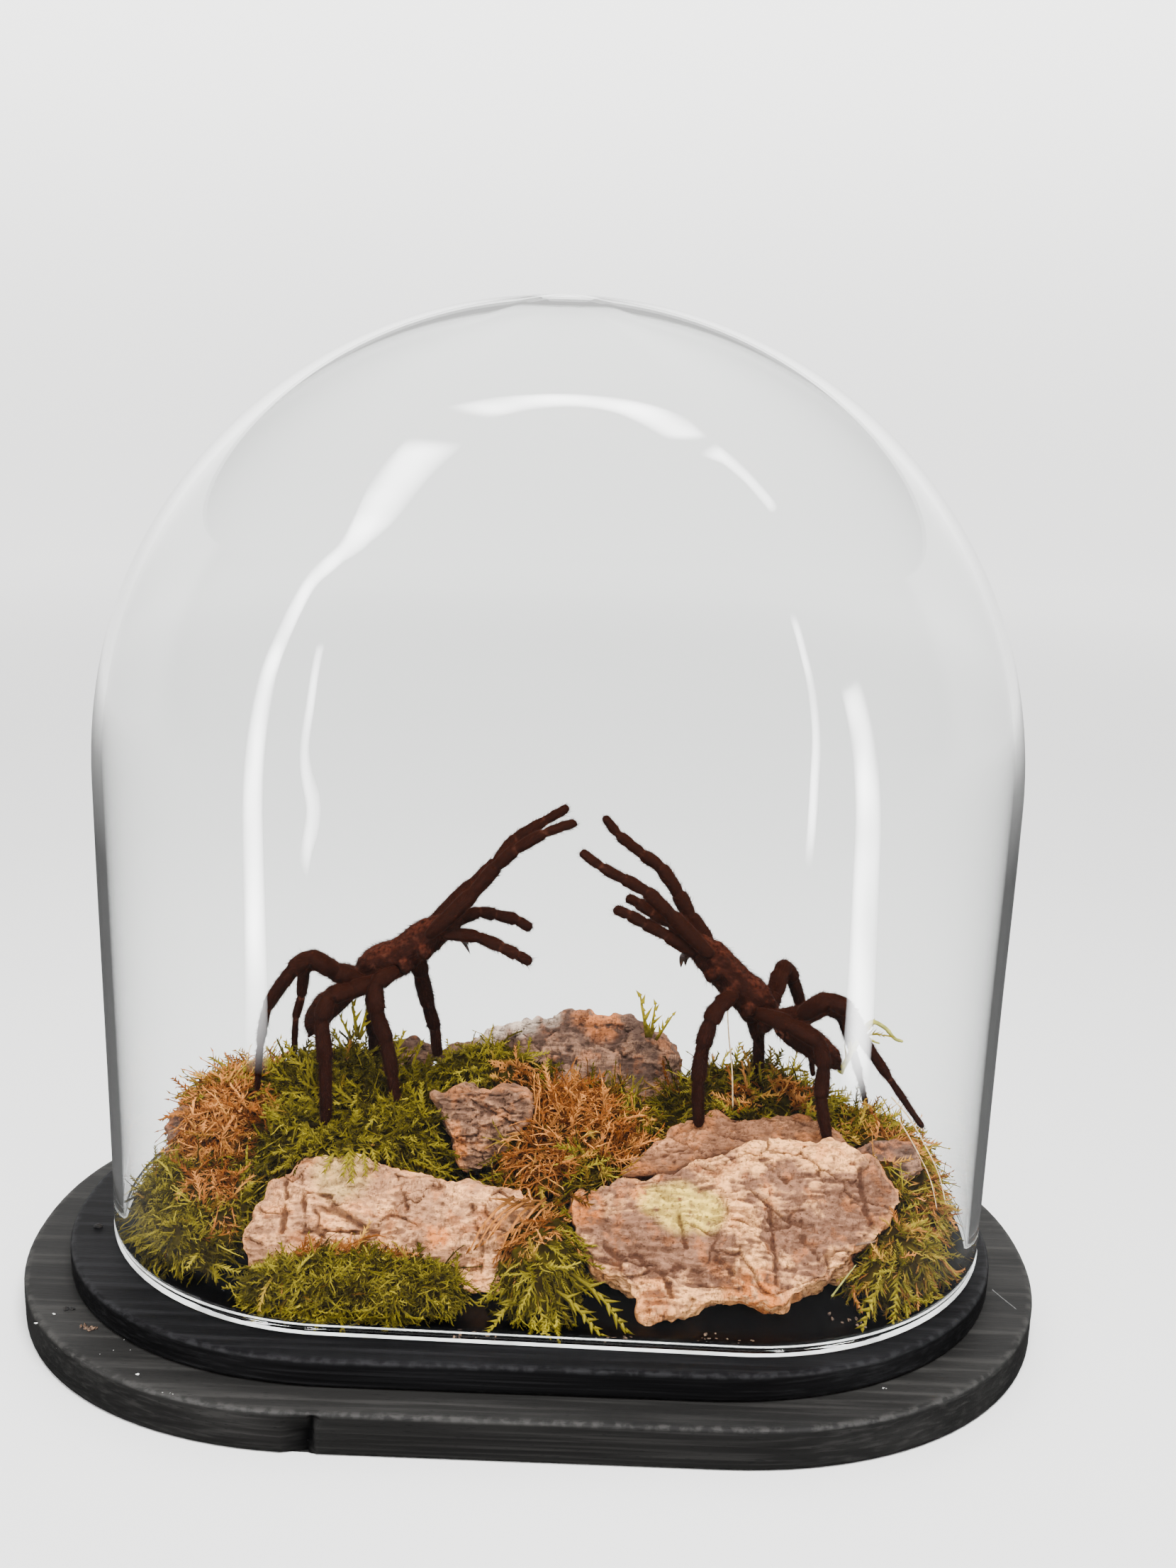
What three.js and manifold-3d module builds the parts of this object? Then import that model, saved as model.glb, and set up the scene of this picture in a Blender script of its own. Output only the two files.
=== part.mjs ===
// Two dried spiders reared up on bark and moss, under an oval glass dome on a stepped wooden base.
// Millimetres, +Z up. The origin is the middle of the base's underside, +X runs along its length,
// and -Y is the side that the display is seen from: "near" is towards -Y and "far" is towards +Y.
import * as THREE from "three";
import { ParametricGeometry } from "three/addons/geometries/ParametricGeometry.js";
import { mergeVertices } from "three/addons/utils/BufferGeometryUtils.js";
import Module from "manifold-3d";

const wasm = await Module();
wasm.setup();

// ---- driving dimensions ----

const GAP = 0.3; // clearance between pieces that touch

const LOWER_TIER = { halfLength: 161.5, halfDepth: 93.5, straightHalf: 56, squareness: 2.15 };
const LOWER_THICKNESS = 13;
const UPPER_TIER = { halfLength: 147.5, halfDepth: 82.5, straightHalf: 50.5, squareness: 2.15 };
const UPPER_THICKNESS = 8.5;
const TIER_EDGE = 0.9; // the small rounding of each tier's edges
const END_STEPS = 14; // facets round each end of a tier

const GLASS = { halfLength: 140, halfDepth: 75.5, straightHalf: 59, squareness: 2 };
const GLASS_WALL = 3;
const GLASS_TOP = 310; // height of the crown
const GLASS_SHOULDER = 169; // where the crown starts, seen from the front
const GLASS_SIDE_SHOULDER = 213; // where it starts, seen from the end
const GLASS_END_STEPS = 14;
const GLASS_CROWN_STEPS = 9;
const GLASS_SHIFT = [4.3, 2.1]; // the glass stands a little off the middle of the base
const GLASS_TURN_DEG = -1.2;

const BASE_TOP = LOWER_THICKNESS + UPPER_THICKNESS;
const FLOOR = BASE_TOP + GAP;
const WALL_CLEARANCE = 3.5; // between the glass and what stands inside it

const BARK_BEVEL = 1.4;
const LIMB_RINGS = 11;
const LIMB_SIDES = 6;
const BODY_RINGS = 9;
const BODY_SIDES = 8;
const CUSHION_STEPS = [12, 7]; // round and from pole to pole
const CUSHION_FULLNESS = 0.75; // under 1 makes a cushion flatter on top and steeper at its edge
const PROP_RADIUS = 0.45;

// ---- finishes ----

function finish(color, roughness) {
  return new THREE.MeshStandardMaterial({ color, roughness, metalness: 0 });
}

const WOOD = finish(0x35353a, 0.6);
const DARK_WOOD = finish(0x232326, 0.5);
const PALE_BARK = finish(0xc9a893, 0.95);
const DARK_BARK = finish(0x6e5850, 0.95);
const GREEN_MOSS = finish(0x74802a, 1);
const RUST_MOSS = finish(0xa8642e, 1);
const SPIDER = finish(0x3c211b, 0.85);
const STRAW = finish(0xc9bf9c, 0.7);
const CLEAR = new THREE.MeshStandardMaterial({
  color: 0xeef3f2,
  roughness: 0.04,
  metalness: 0,
  transparent: true,
  opacity: 0.3,
});

// ---- solids ----

// A closed geometry as a solid whose faces point out.
function solidOf(geometry) {
  const bare = geometry.clone();
  bare.deleteAttribute("normal");
  bare.deleteAttribute("uv");
  const merged = mergeVertices(bare, 1e-4);
  const corners = merged.index.array;
  const faces = [];
  for (let i = 0; i < corners.length; i += 3) {
    const [a, b, c] = corners.slice(i, i + 3);
    if (a !== b && b !== c && c !== a) faces.push(a, b, c);
  }
  const build = (list) =>
    new wasm.Manifold(
      new wasm.Mesh({
        numProp: 3,
        vertProperties: merged.attributes.position.array,
        triVerts: new Uint32Array(list),
      }),
    );
  const made = build(faces);
  return made.volume() < 0 ? build(faces.reverse()) : made;
}

// The largest body of a solid, which drops the crumbs that a cut leaves.
function largest(solid) {
  const bodies = solid.decompose();
  return bodies.reduce((best, body) => (body.volume() > best.volume() ? body : best));
}

function geometryOf(solid) {
  const mesh = solid.getMesh();
  return new THREE.BufferGeometry()
    .setAttribute("position", new THREE.BufferAttribute(mesh.vertProperties, 3))
    .setIndex(new THREE.BufferAttribute(mesh.triVerts, 1))
    .toNonIndexed();
}

function meshOf(name, solid, material) {
  const geometry = geometryOf(solid);
  geometry.computeVertexNormals();
  const mesh = new THREE.Mesh(geometry, material);
  mesh.name = name;
  return mesh;
}

// ---- racetrack outlines: straight sides joined by rounded ends ----

// Stations round the outline, the +X end first. Each says which end it is on and its direction there.
function stations(stepsPerEnd) {
  const list = [];
  for (const side of [1, -1]) {
    for (let i = 0; i <= stepsPerEnd; i++) {
      const angle = Math.PI * (i / stepsPerEnd - 0.5);
      list.push({ side, along: Math.cos(angle), across: side * Math.sin(angle) });
    }
  }
  return list;
}

function outlinePoint(station, section) {
  const power = 2 / section.squareness;
  const end = section.halfLength - section.straightHalf;
  const x = station.side * (section.straightHalf + end * station.along ** power);
  const y = Math.sign(station.across) * section.halfDepth * Math.abs(station.across) ** power;
  return new THREE.Vector2(x, y);
}

function racetrackShape(section, stepsPerEnd) {
  return new THREE.Shape(stations(stepsPerEnd).map((s) => outlinePoint(s, section)));
}

// ---- the base ----

function tier(name, section, bottom, thickness, material) {
  const geometry = new THREE.ExtrudeGeometry(racetrackShape(section, END_STEPS), {
    depth: thickness - 2 * TIER_EDGE,
    bevelThickness: TIER_EDGE,
    bevelSize: TIER_EDGE,
    bevelOffset: -TIER_EDGE,
    bevelSegments: 1,
  });
  geometry.translate(0, 0, bottom + TIER_EDGE);
  return meshOf(name, solidOf(geometry), material);
}

// ---- the glass ----

// The dome's horizontal section at a height, inset from its outer surface.
function glassSection(height, inset) {
  const top = GLASS_TOP - inset;
  const shrink = (from) => Math.sqrt(1 - Math.max(0, (height - from) / (top - from)) ** 2);
  const front = shrink(GLASS_SHOULDER);
  return {
    halfLength: (GLASS.halfLength - inset) * front,
    straightHalf: GLASS.straightHalf * front,
    halfDepth: (GLASS.halfDepth - inset) * shrink(GLASS_SIDE_SHOULDER),
    squareness: GLASS.squareness,
  };
}

// Heights from the crown down to the rim, for one face of the wall.
function glassHeights(inset) {
  const heights = [];
  for (let i = GLASS_CROWN_STEPS; i >= 0; i--) {
    const angle = (0.5 * Math.PI * i) / GLASS_CROWN_STEPS;
    heights.push(GLASS_SHOULDER + (GLASS_TOP - inset - GLASS_SHOULDER) * Math.sin(angle));
  }
  heights.push(FLOOR);
  return heights;
}

function glassDome() {
  const inner = glassHeights(GLASS_WALL).map((height) => ({ height, inset: GLASS_WALL }));
  const outer = glassHeights(0).map((height) => ({ height, inset: 0 }));
  const profile = [...inner, ...outer.reverse()];
  const round = stations(GLASS_END_STEPS);
  const wall = new ParametricGeometry(
    (u, v, target) => {
      const station = round[Math.round(u * round.length) % round.length];
      const { height, inset } = profile[Math.round(v * (profile.length - 1))];
      const point = outlinePoint(station, glassSection(height, inset));
      target.set(point.x, point.y, height);
    },
    round.length,
    profile.length - 1,
  );
  const dome = meshOf("glass_dome", solidOf(wall), CLEAR);
  dome.position.set(...GLASS_SHIFT, 0);
  dome.rotation.z = THREE.MathUtils.degToRad(GLASS_TURN_DEG);
  return dome;
}

// The room inside the glass that the display may fill.
function roomInside() {
  const inset = GLASS_WALL + WALL_CLEARANCE;
  const geometry = new THREE.ExtrudeGeometry(
    racetrackShape(glassSection(FLOOR, inset), END_STEPS),
    { depth: GLASS_SHOULDER - FLOOR, bevelEnabled: false },
  );
  geometry.rotateZ(THREE.MathUtils.degToRad(GLASS_TURN_DEG));
  geometry.translate(...GLASS_SHIFT, FLOOR);
  return solidOf(geometry);
}

// ---- bark ----

// Each slab is drawn on its weathered face, x along the display and y up its slope, from the corner at.
// lean tilts that face up from level, and turn swings it about the vertical, both in degrees.
const BARK = [
  {
    name: "bark_front_right",
    at: [13, -57, 22.5],
    lean: 39,
    turn: 0,
    thickness: 13,
    material: PALE_BARK,
    outline: [
      [2, 24], [0, 37], [12, 41], [34, 46], [51, 54], [65, 58], [83, 57], [96, 50], [101, 43],
      [97, 34], [88, 25], [83, 18], [74, 12], [63, 7], [54, 7], [46, 9], [39, 5], [31, 1], [24, 1],
      [21, 7], [15, 12], [8, 15],
    ],
  },
  {
    name: "bark_front_left",
    at: [-86, -47, 22.5],
    lean: 48,
    turn: -2,
    thickness: 12,
    material: PALE_BARK,
    outline: [
      [0, 13], [2, 24], [7, 32], [15, 37], [27, 40], [40, 38], [52, 35], [66, 34], [78, 34],
      [86, 29], [88, 18], [87, 7], [80, 1], [68, 0], [62, 4], [40, 3], [15, 3], [3, 5],
    ],
  },
  {
    name: "bark_middle_right",
    at: [28, -24, 49],
    lean: 14,
    turn: 0,
    thickness: 8,
    material: PALE_BARK,
    outline: [
      [0, 4], [7, 15], [17, 25], [30, 32], [44, 31], [58, 33], [68, 30], [76, 19], [74, 8],
      [60, 2], [30, 0], [8, -2],
    ],
  },
  {
    name: "bark_upright_chunk",
    at: [-34, -6, 42],
    lean: 68,
    turn: -4,
    thickness: 11,
    material: DARK_BARK,
    outline: [[0, 21], [8, 24], [30, 25], [31, 16], [25, 8], [21, 0], [13, -3], [9, 2], [4, 12]],
  },
  {
    name: "bark_back",
    at: [-36, 38, 48],
    lean: 55,
    turn: 0,
    thickness: 14,
    material: DARK_BARK,
    outline: [
      [0, 10], [8, 16], [18, 21], [30, 25], [44, 28], [64, 27], [78, 21], [86, 13], [84, 4],
      [68, -4], [40, -2], [14, 0],
    ],
  },
  {
    name: "bark_right_chip",
    at: [101, -14, 46],
    lean: 42,
    turn: 6,
    thickness: 7,
    material: DARK_BARK,
    outline: [[2, 0], [0, 9], [10, 13], [22, 12], [25, 3], [14, -2]],
  },
  {
    name: "bark_left_chip",
    at: [-126, 5, 34],
    lean: 60,
    turn: -8,
    thickness: 8,
    material: DARK_BARK,
    outline: [[2, 0], [0, 10], [4, 17], [13, 19], [17, 10], [14, 0]],
  },
  {
    name: "bark_back_left_chip",
    at: [-56, 34, 58],
    lean: 50,
    turn: 0,
    thickness: 7,
    material: DARK_BARK,
    outline: [[0, 2], [3, 8], [11, 10], [18, 7], [19, 1], [8, -3]],
  },
];

function barkSolid(piece, grow) {
  const shape = new THREE.Shape(piece.outline.map(([x, y]) => new THREE.Vector2(x, y)));
  const depth = piece.thickness - 2 * BARK_BEVEL;
  const geometry = new THREE.ExtrudeGeometry(shape, {
    depth,
    bevelThickness: BARK_BEVEL + grow,
    bevelSize: BARK_BEVEL,
    bevelOffset: grow - BARK_BEVEL,
    bevelSegments: 1,
  });
  geometry.translate(0, 0, BARK_BEVEL - piece.thickness);
  geometry.rotateX(THREE.MathUtils.degToRad(piece.lean));
  geometry.rotateZ(THREE.MathUtils.degToRad(piece.turn));
  geometry.translate(...piece.at);
  return solidOf(geometry);
}

// ---- spiders ----

// Radius at shares of the length. On a leg: hip, thigh, knee, shin and the two foot joints.
const RAISED_GIRTH = [
  [0, 1.7], [0.1, 2.2], [0.28, 2.3], [0.42, 1.9], [0.5, 2], [0.64, 1.8], [0.7, 1.5],
  [0.82, 1.5], [0.88, 1.3], [0.97, 1.25], [1, 0.8],
];
const STANDING_GIRTH = [
  [0, 1.7], [0.12, 2.2], [0.3, 2.1], [0.45, 1.8], [0.6, 1.9], [0.8, 1.5], [0.97, 1.2], [1, 0.8],
];
const ARCHED_GIRTH = [
  [0, 2.1], [0.15, 2.7], [0.33, 2.4], [0.45, 2], [0.6, 1.4], [0.75, 1], [0.95, 0.85], [1, 0.5],
];
const PALP_GIRTH = [
  [0, 1.5], [0.15, 1.9], [0.4, 1.85], [0.5, 1.6], [0.65, 1.75], [0.78, 1.45], [0.93, 1.6], [1, 1],
];
const FORE_BODY_GIRTH = [
  [0, 2.2], [0.1, 4.4], [0.25, 5.7], [0.45, 6], [0.62, 6], [0.78, 5.5], [0.9, 4.8], [1, 3],
];
const ABDOMEN_GIRTH = [
  [0, 2.4], [0.15, 3.8], [0.35, 4.5], [0.6, 4.6], [0.8, 4.3], [0.93, 3.3], [1, 1.8],
];
const FORE_BODY_WIDTH = 1.1; // how much wider than tall the body is
const ABDOMEN_WIDTH = 1.05;

const SPIDERS = [
  {
    name: "left_spider",
    foreBody: [[-60, 12, 96], [-54, 12, 101], [-46, 12, 105], [-37, 12, 112], [-29, 12, 118]],
    abdomen: [[-59, 12, 95], [-65, 12, 91], [-71, 12, 85], [-75, 12, 78]],
    limbs: [
      ["near_leg_1", RAISED_GIRTH,
        [[-36, 7, 114], [-21, 6, 130], [-14, 5, 139], [-8, 4, 145], [1, 3, 151], [11, 3, 155]]],
      ["far_leg_1", RAISED_GIRTH,
        [[-36, 17, 115], [-22, 18, 129], [-15, 19, 136], [-9, 20, 144], [0, 20, 150], [8, 21, 155]]],
      ["near_palp", PALP_GIRTH,
        [[-31, 8, 114], [-20, 8, 117], [-12, 6, 114], [-7, 5, 111], [-2, 5, 107]]],
      ["far_palp", PALP_GIRTH,
        [[-31, 16, 115], [-20, 16, 120], [-15, 17, 119], [-8, 18, 117], [-3, 18, 114]]],
      ["near_leg_2", STANDING_GIRTH,
        [[-45, 6, 103], [-51, 1, 100], [-51, 0, 91], [-48, 0, 81], [-46, 0, 69], [-45, 0, 60]]],
      ["near_leg_3", STANDING_GIRTH,
        [[-50, 6, 100], [-59, 0, 98], [-65, -4, 97], [-67, -7, 91], [-66, -8, 77], [-66, -8, 55]]],
      ["near_leg_4", ARCHED_GIRTH,
        [[-55, 8, 97], [-65, 3, 103], [-72, -2, 109], [-77, -2, 105], [-86, 0, 91], [-89, 2, 78],
          [-91, 4, 60]]],
      ["far_leg_2", STANDING_GIRTH,
        [[-41, 18, 106], [-40, 24, 95], [-38, 28, 82], [-36, 30, 73], [-35, 31, 62]]],
      ["far_leg_3", STANDING_GIRTH,
        [[-46, 18, 102], [-54, 24, 93], [-57, 28, 81], [-57, 30, 70], [-56, 30, 59]]],
      ["far_leg_4", ARCHED_GIRTH,
        [[-55, 17, 95], [-67, 23, 95], [-76, 29, 96], [-80, 31, 93], [-82, 32, 82], [-84, 32, 74],
          [-85, 32, 58]]],
    ],
  },
  {
    name: "right_spider",
    foreBody: [
      [78, 12, 87], [73, 12, 92], [67, 12, 97], [60, 12, 104], [54, 12, 110], [48, 12, 115],
    ],
    abdomen: [[78, 12, 86], [84, 12, 83], [91, 12, 79], [99, 12, 73]],
    limbs: [
      ["near_leg_1", RAISED_GIRTH,
        [[55, 7, 111], [41, 6, 125], [33, 4, 133], [26, 3, 137], [19, 2, 141], [12, 2, 146]]],
      ["far_leg_1", RAISED_GIRTH,
        [[55, 17, 112], [48, 17, 121], [44, 18, 128], [38, 20, 136], [32, 21, 140], [24, 22, 146],
          [19, 22, 152]]],
      ["near_palp", PALP_GIRTH,
        [[50, 8, 111], [40, 6, 118], [33, 5, 122], [28, 4, 125], [23, 4, 127]]],
      ["far_palp", PALP_GIRTH,
        [[50, 16, 112], [42, 17, 118], [36, 18, 121], [31, 19, 124], [27, 19, 126]]],
      ["near_leg_2", STANDING_GIRTH,
        [[63, 6, 99], [58, 1, 97], [55, -1, 92], [53, -2, 84], [52, -2, 72], [53, -2, 56]]],
      ["near_leg_3", STANDING_GIRTH,
        [[70, 6, 93], [80, -1, 92], [89, -5, 88], [91, -6, 80], [91, -6, 70], [94, -6, 55]]],
      ["near_leg_4", ARCHED_GIRTH,
        [[74, 8, 90], [84, 3, 94], [92, -2, 101], [98, -2, 98], [103, 0, 89], [114, 3, 73],
          [127, 5, 55]]],
      ["far_leg_2", STANDING_GIRTH, [[65, 18, 93], [71, 25, 83], [74, 29, 74], [75, 30, 60]]],
      ["far_leg_3", ARCHED_GIRTH,
        [[73, 17, 88], [78, 24, 92], [80, 28, 98], [82, 31, 99], [85, 33, 94], [89, 36, 83],
          [93, 37, 69], [95, 37, 57]]],
      ["far_leg_4", ARCHED_GIRTH,
        [[77, 17, 86], [88, 22, 85], [96, 29, 86], [102, 33, 82], [107, 35, 70], [111, 35, 58],
          [114, 35, 48]]],
    ],
  },
];

function girthAt(girth, share) {
  const next = Math.max(1, girth.findIndex(([at]) => at >= share));
  const [from, thin] = girth[next - 1];
  const [to, thick] = girth[next];
  return THREE.MathUtils.mapLinear(share, from, to, thin, thick);
}

// A round tapering body along a path: a turned shape, bent to follow the path.
function bentBody(points, girth, { rings, sides, width = 1, grow = 0 }) {
  const path = new THREE.CatmullRomCurve3(
    points.map((p) => new THREE.Vector3(...p)),
    false,
    "centripetal",
  );
  const frames = path.computeFrenetFrames(rings, false);
  const profile = [new THREE.Vector2(0, 0)];
  for (let i = 0; i <= rings; i++) {
    profile.push(new THREE.Vector2(girthAt(girth, i / rings) + grow, i));
  }
  profile.push(new THREE.Vector2(0, rings));
  const geometry = new THREE.LatheGeometry(profile, sides);
  const position = geometry.attributes.position;
  for (let i = 0; i < position.count; i++) {
    const ring = Math.round(position.getY(i));
    const point = path.getPointAt(ring / rings);
    const outward = ring === 0 ? -grow : ring === rings ? grow : 0;
    point.addScaledVector(frames.tangents[ring], outward);
    point.addScaledVector(frames.normals[ring], width * position.getX(i));
    point.addScaledVector(frames.binormals[ring], position.getZ(i));
    position.setXYZ(i, point.x, point.y, point.z);
  }
  return solidOf(geometry);
}

// The pieces of one spider, the body first. Each says how to make its solid, and a grown one for cuts.
function spiderPieces(spider) {
  const body = { rings: BODY_RINGS, sides: BODY_SIDES };
  const limb = { rings: LIMB_RINGS, sides: LIMB_SIDES };
  const pieces = [
    {
      name: `${spider.name}_fore_body`,
      solid: (grow) =>
        bentBody(spider.foreBody, FORE_BODY_GIRTH, { ...body, width: FORE_BODY_WIDTH, grow }),
    },
    {
      name: `${spider.name}_abdomen`,
      solid: (grow) => bentBody(spider.abdomen, ABDOMEN_GIRTH, { ...body, width: ABDOMEN_WIDTH, grow }),
    },
  ];
  for (const [limbName, girth, points] of spider.limbs) {
    pieces.push({
      name: `${spider.name}_${limbName}`,
      solid: (grow) => bentBody(points, girth, { ...limb, grow }),
    });
  }
  return pieces;
}

// ---- the straw that props the right spider ----

const PROP_TOP = [61, 12, 97];
const PROP_FOOT = [65, 11, 56];

function propSolid(grow) {
  const top = new THREE.Vector3(...PROP_TOP);
  const foot = new THREE.Vector3(...PROP_FOOT);
  const along = top.clone().sub(foot);
  const geometry = new THREE.CylinderGeometry(
    PROP_RADIUS + grow,
    PROP_RADIUS + grow,
    along.length() + 2 * grow,
    8,
  );
  const up = new THREE.Vector3(0, 1, 0);
  geometry.applyQuaternion(new THREE.Quaternion().setFromUnitVectors(up, along.normalize()));
  geometry.translate(...top.add(foot).multiplyScalar(0.5).toArray());
  return solidOf(geometry);
}

// ---- moss cushions: low mounds on the base, in the order that they lie against each other ----

const MOSS = [
  { name: "moss_front_left", at: [-50, -53], half: [35, 14], top: 38, material: GREEN_MOSS },
  { name: "moss_front_middle", at: [5, -38], half: [16, 28], top: 45, material: GREEN_MOSS },
  { name: "moss_front_right", at: [111, -28], half: [20, 28], top: 44, material: GREEN_MOSS },
  { name: "moss_left_end", at: [-104, -10], half: [26, 40], top: 46, material: GREEN_MOSS },
  { name: "moss_back_left", at: [-64, 18], half: [46, 46], top: 63, material: GREEN_MOSS },
  { name: "moss_middle", at: [14, 8], half: [34, 40], top: 59, material: RUST_MOSS },
  { name: "moss_left_shoulder", at: [-98, 22], half: [28, 38], top: 57, material: RUST_MOSS },
  { name: "moss_back_right", at: [72, 28], half: [42, 36], top: 61, material: GREEN_MOSS },
  { name: "moss_right_end", at: [109, 8], half: [28, 40], top: 54, material: RUST_MOSS },
  { name: "moss_back_middle", at: [-18, 34], half: [30, 26], top: 65, material: GREEN_MOSS },
  { name: "moss_back_slope", at: [4, 52], half: [84, 24], top: 46, material: GREEN_MOSS },
];

function cushionSolid(cushion, grow) {
  const geometry = new THREE.SphereGeometry(1, ...CUSHION_STEPS);
  geometry.rotateX(Math.PI / 2);
  const position = geometry.attributes.position;
  for (let i = 0; i < position.count; i++) {
    const height = position.getZ(i);
    position.setZ(i, Math.sign(height) * Math.abs(height) ** CUSHION_FULLNESS);
  }
  const [halfLength, halfDepth] = cushion.half;
  geometry.scale(halfLength + grow, halfDepth + grow, cushion.top - FLOOR + grow);
  geometry.translate(...cushion.at, FLOOR);
  return solidOf(geometry);
}

// ---- the assembly ----

const display = new THREE.Group();
display.add(tier("base_lower_tier", LOWER_TIER, 0, LOWER_THICKNESS, WOOD));
display.add(tier("base_upper_tier", UPPER_TIER, LOWER_THICKNESS, UPPER_THICKNESS, DARK_WOOD));
display.add(glassDome());

const pieces = [
  ...BARK.map((piece) => ({ ...piece, solid: (grow) => barkSolid(piece, grow) })),
  ...SPIDERS.flatMap(spiderPieces).map((piece) => ({ ...piece, material: SPIDER })),
  { name: "straw_prop", solid: propSolid, material: STRAW },
  ...MOSS.map((cushion) => ({ ...cushion, solid: (grow) => cushionSolid(cushion, grow) })),
];

// Each piece gives way to those before it, with a gap between them.
const room = roomInside();
let taken = null;
for (const { name, solid, material } of pieces) {
  const whole = solid(0).intersect(room);
  const clear = taken ? largest(whole.subtract(taken)) : whole;
  display.add(meshOf(name, clear, material));
  taken = taken ? taken.add(solid(GAP)) : solid(GAP);
}

export default display;
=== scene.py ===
"""Two dried spiders reared up on bark and moss, under an oval glass dome on a stepped black base.

Meshes are in metres. The classes' fields are in millimetres, and colours are linear. +Z is up,
+X runs along the base and the display is seen from -Y: "near" is towards -Y and "far" towards +Y.
"""

from __future__ import annotations
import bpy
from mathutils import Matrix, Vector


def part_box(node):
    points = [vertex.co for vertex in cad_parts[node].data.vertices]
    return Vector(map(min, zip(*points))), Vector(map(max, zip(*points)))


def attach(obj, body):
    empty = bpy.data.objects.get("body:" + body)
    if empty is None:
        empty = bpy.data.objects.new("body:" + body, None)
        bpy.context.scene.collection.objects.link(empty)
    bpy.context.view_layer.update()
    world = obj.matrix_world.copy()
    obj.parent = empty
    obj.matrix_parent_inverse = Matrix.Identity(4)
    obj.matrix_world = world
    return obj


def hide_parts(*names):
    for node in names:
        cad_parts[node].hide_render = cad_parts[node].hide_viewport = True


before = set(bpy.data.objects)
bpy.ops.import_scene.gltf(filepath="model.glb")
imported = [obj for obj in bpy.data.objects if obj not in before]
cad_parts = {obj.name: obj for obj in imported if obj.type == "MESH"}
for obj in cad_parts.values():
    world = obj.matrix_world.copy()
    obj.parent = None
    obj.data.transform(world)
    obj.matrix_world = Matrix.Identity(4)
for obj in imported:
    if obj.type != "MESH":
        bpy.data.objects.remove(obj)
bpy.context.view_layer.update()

import logging
import math
from dataclasses import dataclass
from enum import Enum
from typing import Any, Callable, Sequence, Union

import bmesh
import bpy
import numpy as np
from bpy.types import ID, Material, Mesh, Node, NodeSocket, Object
from mathutils import Matrix, Vector, noise
from mathutils.bvhtree import BVHTree
from mathutils.geometry import interpolate_bezier, intersect_point_line

log = logging.getLogger("display")

MM = 0.001
BMesh = bmesh.types.BMesh
Color = tuple[float, float, float]
Point = tuple[float, float, float]
UP = Vector((0, 0, 1))
ACROSS = Vector((0, 1, 0))


# ---- small helpers ----


def smooth(low: float, high: float, value: float) -> float:
    """A soft step from 0 at low to 1 at high. With low above high it falls instead."""
    share = min(1.0, max(0.0, (value - low) / (high - low)))
    return share * share * (3 - 2 * share)


def between(table: Sequence[tuple[float, float]], at: float) -> float:
    """Reads a table of (place, value) rows, with straight lines between the rows."""
    return float(np.interp(at, [row[0] for row in table], [row[1] for row in table]))


def unit(vectors: np.ndarray) -> np.ndarray:
    """The vectors of an array, each scaled to length one."""
    return vectors / np.maximum(np.linalg.norm(vectors, axis=-1, keepdims=True), 1e-9)


def put_in_scene(name: str, data: ID) -> Object:
    """Makes an object of a mesh, a lamp or a camera, and links it to the scene."""
    made = bpy.data.objects.new(name, data)
    bpy.context.scene.collection.objects.link(made)
    return made


def new_piece(name: str, bm: BMesh) -> Object:
    """Puts a bmesh into the scene as an object at the origin, smooth shaded, and frees the bmesh."""
    mesh = bpy.data.meshes.new(name)
    bm.to_mesh(mesh)
    bm.free()
    mesh.shade_smooth()
    return put_in_scene(name, mesh)


def apply_modifiers(piece: Object) -> None:
    """Replaces a piece's mesh by what its modifiers make of it."""
    bpy.context.view_layer.update()
    evaluated = piece.evaluated_get(bpy.context.evaluated_depsgraph_get())
    mesh = bpy.data.meshes.new_from_object(evaluated)
    piece.modifiers.clear()
    piece.data = mesh
    mesh.shade_smooth()


def remesh(piece: Object, voxel: float) -> None:
    """Joins a piece's overlapping shells into one even skin, with faces about voxel millimetres wide."""
    modifier = piece.modifiers.new("skin", "REMESH")
    modifier.mode = "VOXEL"
    modifier.voxel_size = voxel * MM
    apply_modifiers(piece)


def soften(piece: Object, iterations: int) -> None:
    """Rounds off a piece's skin, after the modifiers that it already has, and applies them all."""
    modifier = piece.modifiers.new("soft", "SMOOTH")
    modifier.factor = 0.5
    modifier.iterations = iterations
    apply_modifiers(piece)


def welded(node: str) -> BMesh:
    """A copy of a CAD node's mesh with its loose triangles merged."""
    bm = bmesh.new()
    bm.from_mesh(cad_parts[node].data)
    bmesh.ops.remove_doubles(bm, verts=bm.verts, dist=0.005 * MM)
    return bm


def put_attribute(piece: Object, name: str, values: Sequence[float] | float) -> None:
    """Stores a number at each vertex of a piece, or one number at all, for its material to read."""
    layer = piece.data.attributes.new(name, "FLOAT", "POINT")
    numbers = np.broadcast_to(np.asarray(values, np.float32), len(piece.data.vertices))
    layer.data.foreach_set("value", numbers.copy())


def finish(piece: Object, material: Material, slot: str, nodes: Sequence[str] = ()) -> None:
    """Dresses a piece, lets it ride on the body and hides the CAD nodes that it stands for.

    Args:
        piece: The finished mesh object.
        material: Its material.
        slot: The record's material slot. Not used.
        nodes: The CAD nodes that it replaces.
    """
    piece.data.materials.append(material)
    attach(piece, "root")
    if nodes:
        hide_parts(*nodes)
    log.info("%s: %d faces", piece.name, len(piece.data.polygons))


# ---- lofts and tubes ----


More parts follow.
